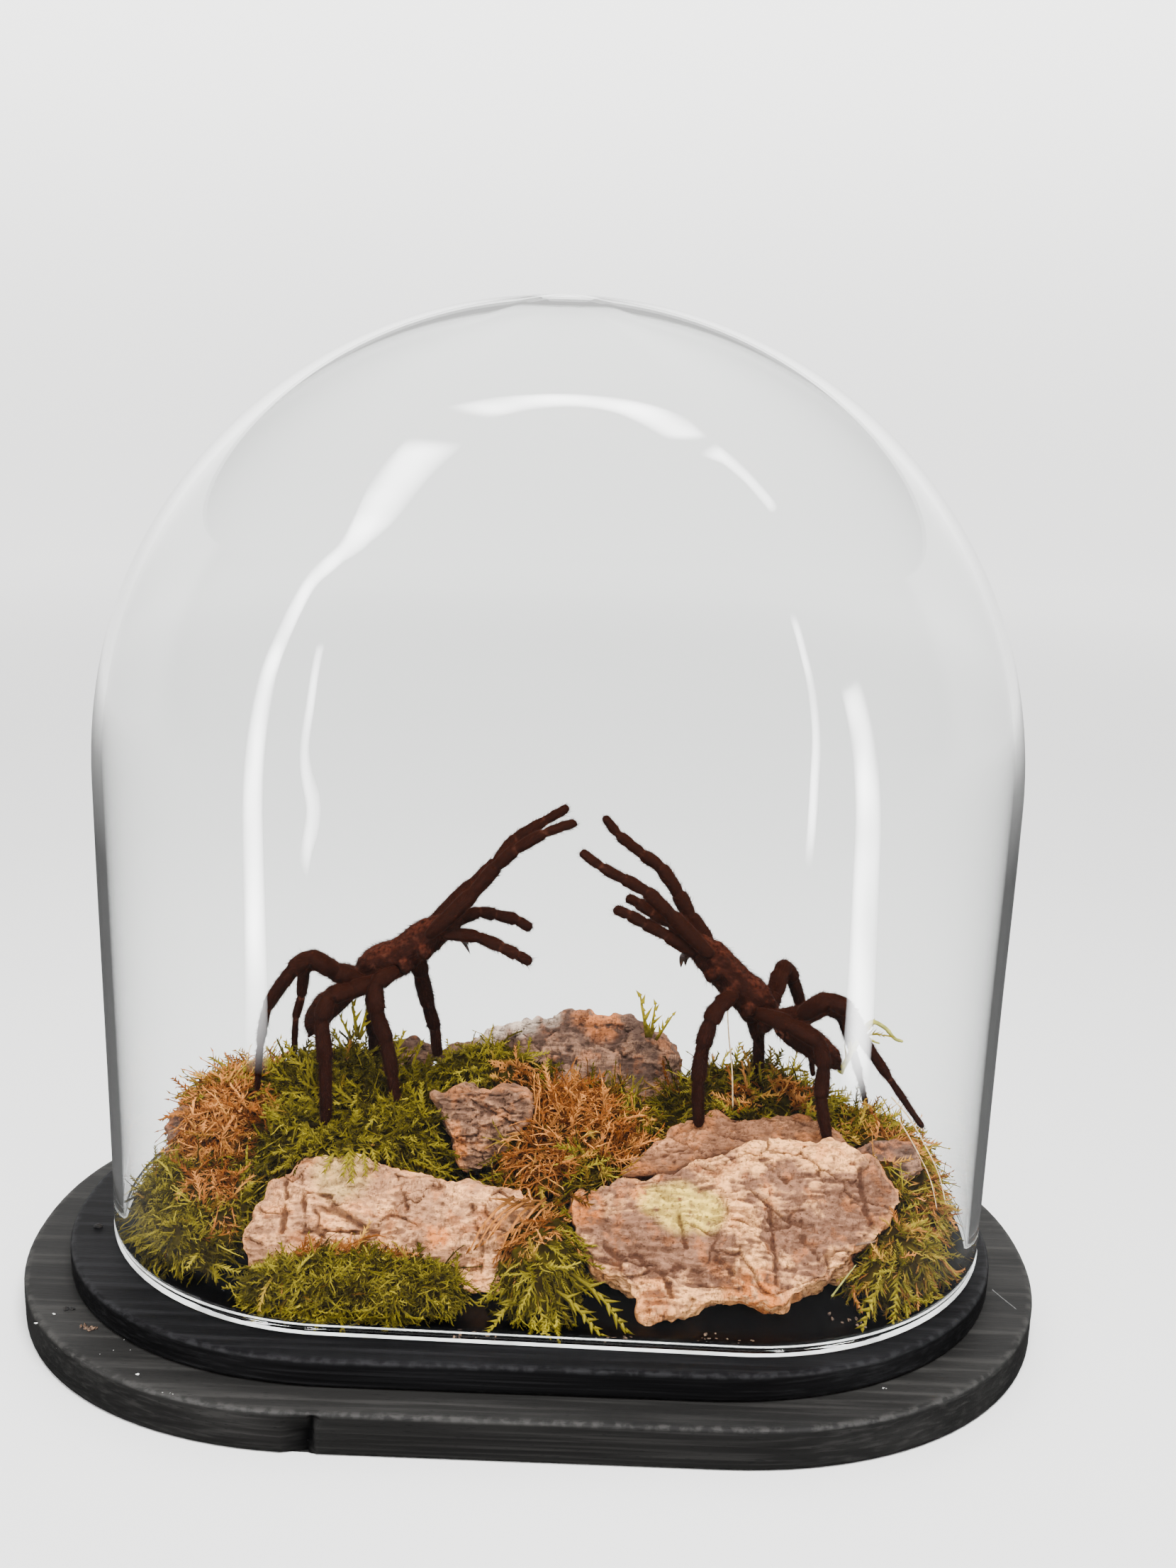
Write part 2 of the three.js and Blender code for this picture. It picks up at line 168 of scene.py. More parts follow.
def put_in_order(bm: BMesh) -> None:
    """Sorts a mesh's edges and faces by their points, as extruding leaves them in any order."""
    bm.verts.index_update()
    count = len(bm.verts)

    def place(item: Union[bmesh.types.BMEdge, bmesh.types.BMFace]) -> int:
        """A number for an edge's or a face's place in the order."""
        points = sorted(vert.index for vert in item.verts)
        return (points[0] * count + points[1]) * count + points[-1]

    bm.edges.sort(key=place)
    bm.faces.sort(key=place)


def loft(rings: Sequence[Sequence[Vector]], pole: bool = True) -> BMesh:
    """Draws a skin over rings of points, by extruding a circle from ring to ring.

    Args:
        rings: Rings with the same number of points, in order. The first is filled.
        pole: Whether the last ring is merged to a point. It is filled otherwise.

    Returns:
        The skin, with its faces pointing out.
    """
    bm = bmesh.new()
    row = list(bmesh.ops.create_circle(bm, segments=len(rings[0]), radius=MM)["verts"])
    for vert, place in zip(row, rings[0]):
        vert.co = place
    edges = list(bm.edges)
    bmesh.ops.contextual_create(bm, geom=edges)
    for ring in rings[1:]:
        made = bmesh.ops.extrude_edge_only(bm, edges=edges)["geom"]
        fresh = {item for item in made if isinstance(item, bmesh.types.BMVert)}
        edges = [item for item in made if isinstance(item, bmesh.types.BMEdge) and set(item.verts) <= fresh]
        row = [next(e.other_vert(old) for e in old.link_edges if e.other_vert(old) in fresh) for old in row]
        for vert, place in zip(row, ring):
            vert.co = place
    if pole:
        middle = sum((vert.co for vert in row), Vector()) / len(row)
        bmesh.ops.pointmerge(bm, verts=row, merge_co=middle)
    else:
        bmesh.ops.contextual_create(bm, geom=edges)
    bmesh.ops.recalc_face_normals(bm, faces=bm.faces)
    put_in_order(bm)
    return bm


def tube(path: Sequence[Vector], radii: Sequence[float], sides: int) -> BMesh:
    """A round tapering body along a path.

    Args:
        path: Points in metres.
        radii: The radius at each point, in metres.
        sides: How many sides the body has.

    Returns:
        The closed body.
    """
    rings = []
    across = Vector()
    for i, centre in enumerate(path):
        ahead = (path[min(i + 1, len(path) - 1)] - path[max(i - 1, 0)]).normalized()
        if i == 0:
            across = ahead.orthogonal()
        across = (across - ahead * across.dot(ahead)).normalized()
        other = ahead.cross(across)
        turns = [2 * math.pi * k / sides for k in range(sides)]
        rings.append([centre + radii[i] * (across * math.cos(t) + other * math.sin(t)) for t in turns])
    return loft(rings)


def bent_line(knots: Sequence[Vector], handles: Sequence[tuple[Vector, Vector]], steps: int) -> list[Vector]:
    """A smooth line through knots.

    Args:
        knots: The knots.
        handles: For each stretch, the way that it leaves its first knot and the way that it arrives.
        steps: The points on each stretch, with both knots.

    Returns:
        The points of the line, with each knot once.
    """
    line: list[Vector] = []
    for start, end, (leaving, arriving) in zip(knots, knots[1:], handles):
        line += interpolate_bezier(start, start + leaving, end - arriving, end, steps)[:-1]
    return [*line, knots[-1]]


# ---- shader nodes ----


class Value:
    """A number that changes over a surface: a socket that can be used in arithmetic."""

    def __init__(self, shader: Shader, socket: NodeSocket) -> None:
        """Wraps an output socket of a shader."""
        self.shader = shader
        self.socket = socket

    def math(self, operation: str, first: Number, second: Number) -> Value:
        """A Math node on two values or numbers."""
        node = self.shader.node("ShaderNodeMath", {"operation": operation}, {0: first, 1: second})
        return Value(self.shader, node.outputs[0])

    def __add__(self, other: Number) -> Value:
        """Self plus other."""
        return self.math("ADD", self, other)

    __radd__ = __add__

    def __sub__(self, other: Number) -> Value:
        """Self minus other."""
        return self.math("SUBTRACT", self, other)

    def __rsub__(self, other: Number) -> Value:
        """Other minus self."""
        return self.math("SUBTRACT", other, self)

    def __mul__(self, other: Number) -> Value:
        """Self times other."""
        return self.math("MULTIPLY", self, other)

    __rmul__ = __mul__

    def step(self, low: float, high: float) -> Value:
        """A soft step from 0 at low to 1 at high."""
        settings = {"interpolation_type": "SMOOTHSTEP"}
        node = self.shader.node("ShaderNodeMapRange", settings, {0: self, 1: low, 2: high, 3: 0.0, 4: 1.0})
        return Value(self.shader, node.outputs[0])


Number = Union[Value, float]


class Shader:
    """One material and the nodes in it."""

    def __init__(self, name: str) -> None:
        """Makes an empty material."""
        self.material = bpy.data.materials.new(name)
        self.material.use_nodes = True
        self.tree = self.material.node_tree
        self.tree.nodes.clear()

    def node(
        self, kind: str, settings: dict[str, Any] | None = None, inputs: dict[int | str, Any] | None = None
    ) -> Node:
        """Adds a node.

        Args:
            kind: The node's type.
            settings: Its settings, such as an operation. "stops" are a ramp's places and colours.
            inputs: A value, socket or number for each of its sockets.

        Returns:
            The node.
        """
        made = self.tree.nodes.new(kind)
        for key, setting in (settings or {}).items():
            if key != "stops":
                setattr(made, key, setting)
                continue
            elements = made.color_ramp.elements
            while len(elements) < len(setting):
                elements.new(1.0)
            for element, (place, color) in zip(elements, setting):
                element.position = place
                element.color = (*color, 1.0)
        for key, given in (inputs or {}).items():
            source = given.socket if isinstance(given, Value) else given
            if isinstance(source, NodeSocket):
                self.tree.links.new(source, made.inputs[key])
            else:
                made.inputs[key].default_value = source
        return made

    def place(self, stretch: Point = (1, 1, 1), shift: Point = (0, 0, 0)) -> NodeSocket:
        """Object coordinates, stretched and shifted."""
        source = self.node("ShaderNodeTexCoord").outputs["Object"]
        inputs = {"Vector": source, "Location": shift, "Scale": stretch}
        return self.node("ShaderNodeMapping", {}, inputs).outputs[0]

    def noise(self, size: float, detail: float = 3.0, place: NodeSocket | None = None) -> Value:
        """Noise from about 0.25 to 0.75 whose lumps are about size millimetres wide."""
        inputs = {"Vector": place or self.place(), "Scale": 1 / (size * MM), "Detail": detail}
        return Value(self, self.node("ShaderNodeTexNoise", {}, inputs).outputs[0])

    def attribute(self, name: str) -> Value:
        """A number stored at the vertices."""
        return Value(self, self.node("ShaderNodeAttribute", {"attribute_name": name}).outputs["Fac"])

    def mix(self, share: Number, first: Any, second: Any, way: str = "MIX") -> NodeSocket:
        """A colour between two colours or sockets, by a share that may vary."""
        first, second = [(*c, 1.0) if isinstance(c, tuple) else c for c in (first, second)]
        settings = {"data_type": "RGBA", "blend_type": way}
        return self.node("ShaderNodeMix", settings, {0: share, 6: first, 7: second}).outputs[2]

    def ramp(self, value: Value, stops: Sequence[tuple[float, Color]]) -> NodeSocket:
        """A colour read from a row of stops."""
        return self.node("ShaderNodeValToRGB", {"stops": stops}, {0: value}).outputs[0]

    def bump(self, height: Value, depth: float, strength: float = 1.0) -> NodeSocket:
        """A normal for a height that is depth millimetres high where the value goes from 0 to 1."""
        inputs = {"Height": height, "Distance": depth * MM, "Strength": strength}
        return self.node("ShaderNodeBump", {}, inputs).outputs[0]

    def surface(self, **inputs: Any) -> Material:
        """Ends the material in a Principled shader, whose sockets are named with _ for a space."""
        named = {key.replace("_", " "): given for key, given in inputs.items()}
        named = {key: (*v, 1.0) if isinstance(v, tuple) and len(v) == 3 else v for key, v in named.items()}
        shader = self.node("ShaderNodeBsdfPrincipled", {}, named)
        self.node("ShaderNodeOutputMaterial", {}, {"Surface": shader.outputs[0]})
        return self.material


# ---- finishes ----


@dataclass(frozen=True)
class StainedWood:
    """Black stained softwood whose grain runs along the base, rubbed pale at its edges."""

    name: str
    stain: Color
    grain: Color
    roughness: float
    shine: float
    pore: Color = (0.003, 0.003, 0.0035)
    unlit: Color = (0.0008, 0.0008, 0.001)

    def material(self) -> Material:
        """Makes the material. It reads the wear and inside attributes."""
        shader = Shader(self.name)
        lines = shader.noise(1.0, 5.0, shader.place((0.016, 0.42, 1.0)))
        bands = shader.noise(9.0, 2.0, shader.place((0.08, 0.6, 1.0), (0.3, 0.1, 0.2)))
        pores = shader.noise(0.5, 2.0, shader.place((0.15, 1.0, 1.0)))
        wear = shader.attribute("wear") * shader.noise(3.0, 4.0).step(0.42, 0.62)
        pale = lines.step(0.46, 0.72) * 0.55 + bands.step(0.4, 0.7) * 0.3
        color = shader.mix(pale, self.stain, self.grain)
        color = shader.mix(wear * 0.35, color, tuple(2.0 * c for c in self.grain))
        color = shader.mix(pores.step(0.6, 0.72) * 0.5, color, self.pore)
        # inside paints shade near black with the unlit colour, on the top under the glass and in the notch's
        # slot.
        inside = shader.attribute("inside")
        color = shader.mix(inside, color, self.unlit)
        rough = lines * 0.25 + (self.roughness - 0.12) - inside * 0.3
        normal = shader.bump(lines * 0.7 + pores * 0.3, 0.22, 0.5)
        return shader.surface(
            Base_Color=color, Roughness=rough, Normal=normal, Specular_IOR_Level=self.shine
        )


@dataclass(frozen=True)
class ClearGlass:
    """Blown clear glass."""

    name: str = "clear_glass"
    ior: float = 1.46
    mirror: Color = (1.0, 1.0, 1.0)

    def material(self) -> Material:
        """Makes the material."""
        shader = Shader(self.name)
        return shader.surface(
            Base_Color=(0.985, 0.995, 0.99),
            Roughness=0.0,
            IOR=self.ior,
            Transmission_Weight=1.0,
            Specular_Tint=self.mirror,
        )


@dataclass(frozen=True)
class GroundGlassHighlight:
    """The foot of the glass, painted white as the highlight along its rim."""

    white: Color = (0.86, 0.88, 0.87)
    dull: float = 0.55

    def material(self) -> Material:
        """Makes the material."""
        shader = Shader("ground_glass_highlight")
        patchy = shader.noise(14.0, 2.0).step(0.3, 0.6)
        color = shader.mix(patchy, tuple(self.dull * c for c in self.white), self.white)
        return shader.surface(Base_Color=color, Roughness=0.25, Transmission_Weight=0.15)


@dataclass(frozen=True)
class Bark:
    """Weathered bark, with cracks painted dark as shade, warm broken places and pale lichen."""

    name: str
    slot: str
    face: Color
    grey: Color
    deep: Color
    warm: Color
    lichen: Color

    def material(self) -> Material:
        """Makes the material. It reads its painted shade of cracks and hollows, and its warm, lichen and rise
        attributes.
        """
        shader = Shader(self.name)
        grain = shader.noise(1.5, 4.0, shader.place((0.5, 1.0, 1.0)))
        cloud = shader.noise(9.0, 5.0)
        specks = shader.noise(0.9, 3.0, shader.place((0.6, 1.0, 1.3)))
        blush = shader.noise(5.0, 4.0, shader.place(shift=(0.4, 0.2, 0.7)))
        # rise is the height with painted light and shade in it: a lit upper edge, highlights on bulges, shade
        # in dips and a shadow where slabs meet.
        rise = shader.attribute("rise") + (cloud - 0.5) * 2.2
        color = shader.mix(rise.step(0.1, 0.95), self.grey, self.face)
        color = shader.mix(blush.step(0.52, 0.66) * 0.4, color, self.warm)
        color = shader.mix(grain.step(0.38, 0.5) * 0.5 + 0.5, tuple(0.4 * c for c in self.grey), color)
        warm = shader.attribute("warm") * shader.noise(2.6, 4.0).step(0.36, 0.54)
        color = shader.mix(warm, color, self.warm)
        lichen = shader.attribute("lichen") * shader.noise(3.2, 5.0).step(0.28, 0.44)
        color = shader.mix(lichen, color, self.lichen)
        streaks = shader.noise(0.8, 4.0, shader.place((1.3, 1.0, 0.3))).step(0.5, 0.62)
        streaks = streaks * shader.noise(6.0, 3.0, shader.place(shift=(0.2, 0.6, 0.1))).step(0.4, 0.6)
        color = shader.mix(streaks * 0.55, color, tuple(0.3 * c for c in self.grey))
        color = shader.mix(specks.step(0.57, 0.66) * 0.6, color, self.deep)
        # Painted shade in cracks, hollows and between layers, and a painted shadow where slabs meet.
        color = shader.mix(shader.attribute("crack"), color, self.deep)
        normal = shader.bump(grain * 0.4 + specks * 0.6, 0.9, 1.0)
        return shader.surface(Base_Color=color, Roughness=0.95, Normal=normal, Specular_IOR_Level=0.06)


@dataclass(frozen=True)
class Moss:
    """Dried feather moss, green where it grew last and rust where it is dead.

    green and rust are its colours from shaded to lit, painted at the three lights. root is the near
    black of the stem bases and the bed: partly their own brown and partly painted shade.
    """

    name: str
    root: Color = (0.009, 0.005, 0.001)
    green: tuple[Color, Color, Color] = ((0.014, 0.01, 0.0006), (0.075, 0.058, 0.0023), (0.31, 0.24, 0.016))
    rust: tuple[Color, Color, Color] = ((0.04, 0.009, 0.0007), (0.2, 0.056, 0.008), (0.6, 0.235, 0.055))
    lights: tuple[float, float, float] = (0.0, 0.45, 1.0)

    def material(self) -> Material:
        """Makes the material. It reads the tint, light and tip attributes."""
        shader = Shader(self.name)
        light = shader.attribute("light") + (shader.noise(1.5, 2.0) - 0.5) * 0.5
        green = shader.ramp(light, list(zip(self.lights, self.green)))
        rust = shader.ramp(light, list(zip(self.lights, self.rust)))
        color = shader.mix(shader.attribute("tint").step(0.3, 0.7), green, rust)
        # Each shoot is darker towards its root: partly its own brown and partly painted shade deep in the
        # cushion.
        color = shader.mix(shader.attribute("tip").step(-0.15, 0.55), self.root, color)
        return shader.surface(Base_Color=color, Roughness=0.75, Specular_IOR_Level=0.02)


@dataclass(frozen=True)
class Hair:
    """A spider's dark reddish brown skin and hair, pinkish bare at the joints; tip also paints sheen on
    upward faces.
    """

    name: str
    base: Color
    tip: Color
    bare: Color = (0.1, 0.033, 0.019)

    def material(self) -> Material:
        """Makes the material. It reads the tip and bare attributes."""
        shader = Shader(self.name)
        clumps = shader.noise(1.2, 3.0)
        color = shader.mix(shader.attribute("tip") * clumps.step(0.35, 0.6), self.base, self.tip)
        color = shader.mix(shader.attribute("bare") * clumps.step(0.4, 0.6), color, self.bare)
        normal = shader.bump(shader.noise(0.5, 2.0), 0.15, 0.7)
        return shader.surface(Base_Color=color, Roughness=0.65, Normal=normal, Specular_IOR_Level=0.015)


@dataclass(frozen=True)
class Plain:
    """A small piece's finish: two colours in soft clouds."""

    name: str
    first: Color
    second: Color
    roughness: float = 0.8
    cloud: float = 1.5

    def material(self) -> Material:
        """Makes the material."""
        shader = Shader(self.name)
        clouds = shader.noise(self.cloud, 3.0)
        color = shader.mix(clouds.step(0.4, 0.62), self.first, self.second)
        normal = shader.bump(clouds, 0.1, 0.5)
        return shader.surface(Base_Color=color, Roughness=self.roughness, Normal=normal)


# ---- racetrack outlines ----


@dataclass(frozen=True)
class Track:
    """An oval outline with straight sides and rounded ends."""

    half_length: float
    half_depth: float
    straight_half: float
    squareness: float = 2.0

    def ring(self, end_steps: int, side_steps: int) -> list[Vector]:
        """Points round the outline in the plane, from the near end of the +X curve.

        Args:
            end_steps: Steps round each end.
            side_steps: Steps along each straight side.

        Returns:
            The points, in millimetres.
        """
        power = 2 / self.squareness
        points = []
        for side in (1, -1):
            for i in range(end_steps + 1):
                turn = math.pi * (i / end_steps - 0.5)
                out = (self.half_length - self.straight_half) * max(0.0, math.cos(turn)) ** power
                across = math.copysign(abs(math.sin(turn)) ** power, side * math.sin(turn))
                points.append(Vector((side * (self.straight_half + out), across * self.half_depth, 0)))
            for i in range(1, side_steps):
                along = side * self.straight_half * (1 - 2 * i / side_steps)
                points.append(Vector((along, side * self.half_depth, 0)))
        return points


@dataclass(frozen=True)
class Notch:
    """A slot in a board's near side, painted dark as shade, which fades out below the lip along its top edge.
    """

    at: float
    width: float
    depth: float
    lean: float = 0.12
    reach: float = 1.1
    lip: float = 0.4
    fade: float = 1.6

    def share(self, point: Vector, inset: float, height: float, thickness: float) -> float:
        """How much of the slot's depth is cut, and how dark its shade is painted, at a point of the board,
        from 0 to 1.

        Args:
            point: The point in the plane, in millimetres.
            inset: How far inside the board's outline it is.
            height: Its height above the board's underside.
            thickness: The board's thickness.

        Returns:
            The share.
        """
        if point.y >= 0 or inset >= self.reach:
            return 0.0
        off = abs(point.x - self.at - self.lean * height)
        across = smooth(1.1 * self.width, 0.5 * self.width, off)
        return across * smooth(thickness - self.lip, thickness - self.fade, height)


@dataclass
class Tier:
    """One oval board of the base.

    inner_rows are the distances from the outline at which its flat faces have a row of points. Where
    the glass covers a board, its top is painted near black as shade.
    """

    node: str
    straight_half: float
    finish: StainedWood
    squareness: float = 2.15
    edge: float = 1.2
    edge_steps: int = 4
    inner_rows: tuple[float, ...] = (2.2, 4.0, 6.0, 7.0, 8.0, 9.0, 10.0, 11.0, 12.5, 14.0, 20.0, 34.0)
    end_steps: int = 56
    side_steps: int = 90
    side_rows: int = 16
    groove: float = 0.12
    groove_height: float = 0.9
    groove_length: float = 45.0
    notch: Notch | None = None
    covered: bool = False

    def profile(self, thickness: float) -> list[tuple[float, float]]:
        """The board's section from the middle of its underside to the middle of its top.

        Args:
            thickness: The board's thickness.

        Returns:
            Rows of (inset, height).
        """
        turn = [0.5 * math.pi * i / self.edge_steps for i in range(self.edge_steps + 1)]
        low = [(self.edge * (1 - math.sin(t)), self.edge * (1 - math.cos(t))) for t in turn]
        high = [(inset, thickness - height) for inset, height in reversed(low)]
        rise = thickness - 2 * self.edge
        side = [(0.0, self.edge + rise * i / self.side_rows) for i in range(1, self.side_rows)]
        under = [(inset, 0.0) for inset in reversed(self.inner_rows)]
        return [*under, *low, *side, *high, *[(inset, thickness) for inset in self.inner_rows]]

    def build(self, dome: Dome) -> None:
        """Lofts the board, with grooves in its side and a worn edge.

        Args:
            dome: The dome that stands on the upper board.
        """
        low, high = [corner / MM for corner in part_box(self.node)]
        half_length, half_depth, thickness = high.x, high.y, high.z - low.z
        rings, wear, inside = [], [], []
        for inset, height in self.profile(thickness):
            track = Track(half_length - inset, half_depth - inset, self.straight_half, self.squareness)
            ring = []
            for point in track.ring(self.end_steps, self.side_steps):
                level, along = low.z + height, self.groove_length
                from_edge = min(height, thickness - height)
                spot = Vector((point.x / along, point.y / along, level / self.groove_height))
                cut = self.groove * noise.noise(spot) * smooth(0, 1.5, from_edge)
                out = Vector((point.x, point.y, 0)).normalized() * cut
                slot = self.notch.share(point, inset, height, thickness) if self.notch else 0.0
                if slot > 0:
                    out.y += max(0.0, self.notch.depth * slot - point.y - half_depth)
                ring.append(Vector((point.x + out.x, point.y + out.y, level)) * MM)
                # inside is painted shade: near black in the notch's slot and on the top under the glass.
                inside.append(max(slot, float(self.covered and height > 1 and dome.covers(point))))
                wear.append(smooth(2.6, 0.4, inset) * smooth(1.4, 0.3, from_edge))
            rings.append(ring)
        piece = new_piece(f"{self.node}_board", loft(rings, pole=False))
        put_attribute(piece, "wear", wear)
        put_attribute(piece, "inside", inside)
        finish(piece, self.finish.material(), "black_stained_wood", [self.node])


@dataclass
class Dome:
    """The glass dome: straight walls on an oval outline, and a crown.

    shift and turn_deg say how it stands off the middle of the base. shoulder and side_shoulder are
    the heights at which its ends and its sides start to lean in. The wobble sets in between the two
    heights of calm above the bead, and below the height foot the bead is painted white as a highlight.
    """

    node: str = "glass_dome"
    outline: Track = Track(140, 75.5, 59)
    wall: float = 3.0
    shoulder: float = 169.0
    side_shoulder: float = 213.0
    shift: tuple[float, float] = (4.3, 2.1)
    turn_deg: float = -1.2
    end_steps: int = 52
    side_steps: int = 18
    wall_rows: int = 14
    crown_rows: int = 46
    wobble: float = 0.3
    wobble_length: float = 55.0
    calm: tuple[float, float] = (6.0, 30.0)
    bead: float = 1.6
    bead_top: float = 3.2
    bead_start_deg: float = -52.0
    bead_sweep_deg: float = 284.0
    bead_steps: int = 24
    foot: float = 0.5
    foot_share: float = 0.98
    inner_mirror: Color = (0.08, 0.08, 0.08)

    def section(self, height: float, inset: float = 0.0) -> Track:
        """The glass's outline at a height, inset from its outer face.

        Args:
            height: Height above the ground.
            inset: How far inside the outer face.

        Returns:
            The outline, which isn't shifted or turned yet.
        """
        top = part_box(self.node)[1].z / MM - inset

        def shrink(start: float) -> float:
            """How much narrower the outline is than below start."""
            return math.sqrt(max(0.0, 1 - max(0.0, (height - start) / (top - start)) ** 2))

        front = shrink(self.shoulder)
        return Track(
            (self.outline.half_length - inset) * front,
            (self.outline.half_depth - inset) * shrink(self.side_shoulder),
            self.outline.straight_half * front,
        )

    def covers(self, point: Vector) -> bool:
        """Whether a point of the base, in millimetres, is inside the glass's foot."""
        local = Matrix.Rotation(math.radians(-self.turn_deg), 3, "Z") @ (point - Vector((*self.shift, 0)))
        over = max(0.0, abs(local.x) - self.outline.straight_half)
        ends = self.outline.half_length - self.outline.straight_half
        return math.hypot(over / ends, local.y / self.outline.half_depth) < self.foot_share

    def placement(self) -> Matrix:
        """Where the dome stands on the base, in metres."""
        turn = Matrix.Rotation(math.radians(self.turn_deg), 4, "Z")
        return Matrix.Translation(Vector((*self.shift, 0)) * MM) @ turn

    def face(self, inset: float) -> list[tuple[float, float]]:
        """One face of the glass above the bead, from the bead to the pole, as (inset, height)."""
        low, high = [corner.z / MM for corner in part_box(self.node)]
        start = low + self.bead_top * self.bead
        heights = [start + (self.shoulder - start) * i / self.wall_rows for i in range(self.wall_rows)]
        turns = [0.5 * math.pi * i / self.crown_rows for i in range(self.crown_rows)]
        heights += [self.shoulder + (high - inset - self.shoulder) * math.sin(t) for t in turns]
        return [(inset, height) for height in [*heights, high - inset - 0.002]]

    def rim(self) -> list[tuple[float, float]]:
        """The rounded bead at the foot of the wall, from inside to outside, as (inset, height)."""
        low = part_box(self.node)[0].z / MM
        sweep = [self.bead_sweep_deg * i / self.bead_steps for i in range(self.bead_steps + 1)]
        turns = [math.radians(self.bead_start_deg + turn) for turn in sweep]
        middle = 0.5 * self.wall
        return [(middle + self.bead * math.cos(t), low + self.bead * (1 - math.sin(t))) for t in turns]

    def build(self) -> None:
        """Lofts the glass from the inner pole down to the bead and up to the outer pole."""
        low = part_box(self.node)[0].z / MM
        rings = []
        for inset, height in [*reversed(self.face(self.wall)), *self.rim(), *self.face(0.0)]:
            ring = []
            for point in self.section(height, inset).ring(self.end_steps, self.side_steps):
                fade = smooth(low + self.calm[0], low + self.calm[1], height)
                spot = Vector((point.x, point.y, height)) / self.wobble_length
                wave = self.wobble * fade * (noise.noise(spot) - 0.4)
                out = Vector((point.x, point.y, 0)).normalized() * wave
                ring.append((Vector((point.x, point.y, height)) + out) * MM)
            rings.append(ring)
        bm = loft(rings)
        for face in bm.faces:
            centre = face.calc_center_median()
            inward = -Vector((centre.x, centre.y, max(0.0, centre.z - self.shoulder * MM)))
            face.material_index = int(face.normal.dot(inward) > 0)
            # The lowest faces of the bead take the painted white highlight.
            if centre.z / MM < low + self.foot:
                face.material_index = 2
        bm.transform(self.placement())
        piece = new_piece("glass_dome_blown", bm)
        finish(piece, ClearGlass().material(), "clear_glass", [self.node])
        for inner in (ClearGlass("clear_glass_inside", mirror=self.inner_mirror), GroundGlassHighlight()):
            piece.data.materials.append(inner.material())
        piece.visible_shadow = False

    def pressed_inside(self, points: np.ndarray, clearance: float, floor: float) -> np.ndarray:
        """Moves the points that would be in or outside the glass, or under the floor, back inside.

        Args:
            points: Points in metres.
            clearance: How far from the inner face they stay, in millimetres.
            floor: The lowest height, in metres.

        Returns:
            The moved points.
        """
        track = self.section(self.shoulder, self.wall + clearance)
        turn = math.radians(self.turn_deg)
        cos, sin = math.cos(turn), math.sin(turn)
        x, y = points[..., 0] / MM - self.shift[0], points[..., 1] / MM - self.shift[1]
        x, y = cos * x + sin * y, cos * y - sin * x
        y = np.clip(y, -track.half_depth, track.half_depth)
        over = np.maximum(np.abs(x) - track.straight_half, 0) / (track.half_length - track.straight_half)
        reach = np.maximum(1.0, np.hypot(over, y / track.half_depth))
        over = over / reach
        y = np.where(over > 0, y / reach, y)
        along = np.minimum(np.abs(x), track.straight_half)
        x = np.sign(x) * (along + over * (track.half_length - track.straight_half))
        moved = points.copy()
        moved[..., 0] = (cos * x - sin * y + self.shift[0]) * MM
        moved[..., 1] = (sin * x + cos * y + self.shift[1]) * MM
        moved[..., 2] = np.maximum(points[..., 2], floor)
        return moved


# ---- bark ----


@dataclass(frozen=True)
class Patch:
    """A round place where a finish changes, with a soft edge."""

    at: Point
    radius: float
    strength: float = 1.0

    def share(self, spot: Vector) -> float:
        """How strong the patch is at a spot in millimetres."""
        return self.strength * smooth(self.radius, 0.45 * self.radius, (spot - Vector(self.at)).length)


def patches(*rows: tuple[float, ...]) -> tuple[Patch, ...]:
    """Patches from rows of x, y, z, radius and, where it isn't 1, strength."""
    return tuple(Patch(row[:3], *row[3:]) for row in rows)


def strongest(places: Sequence[Patch], spot: Vector) -> float:
    """The strongest of several patches at a spot, or 0."""
    return max((place.share(spot) for place in places), default=0.0)


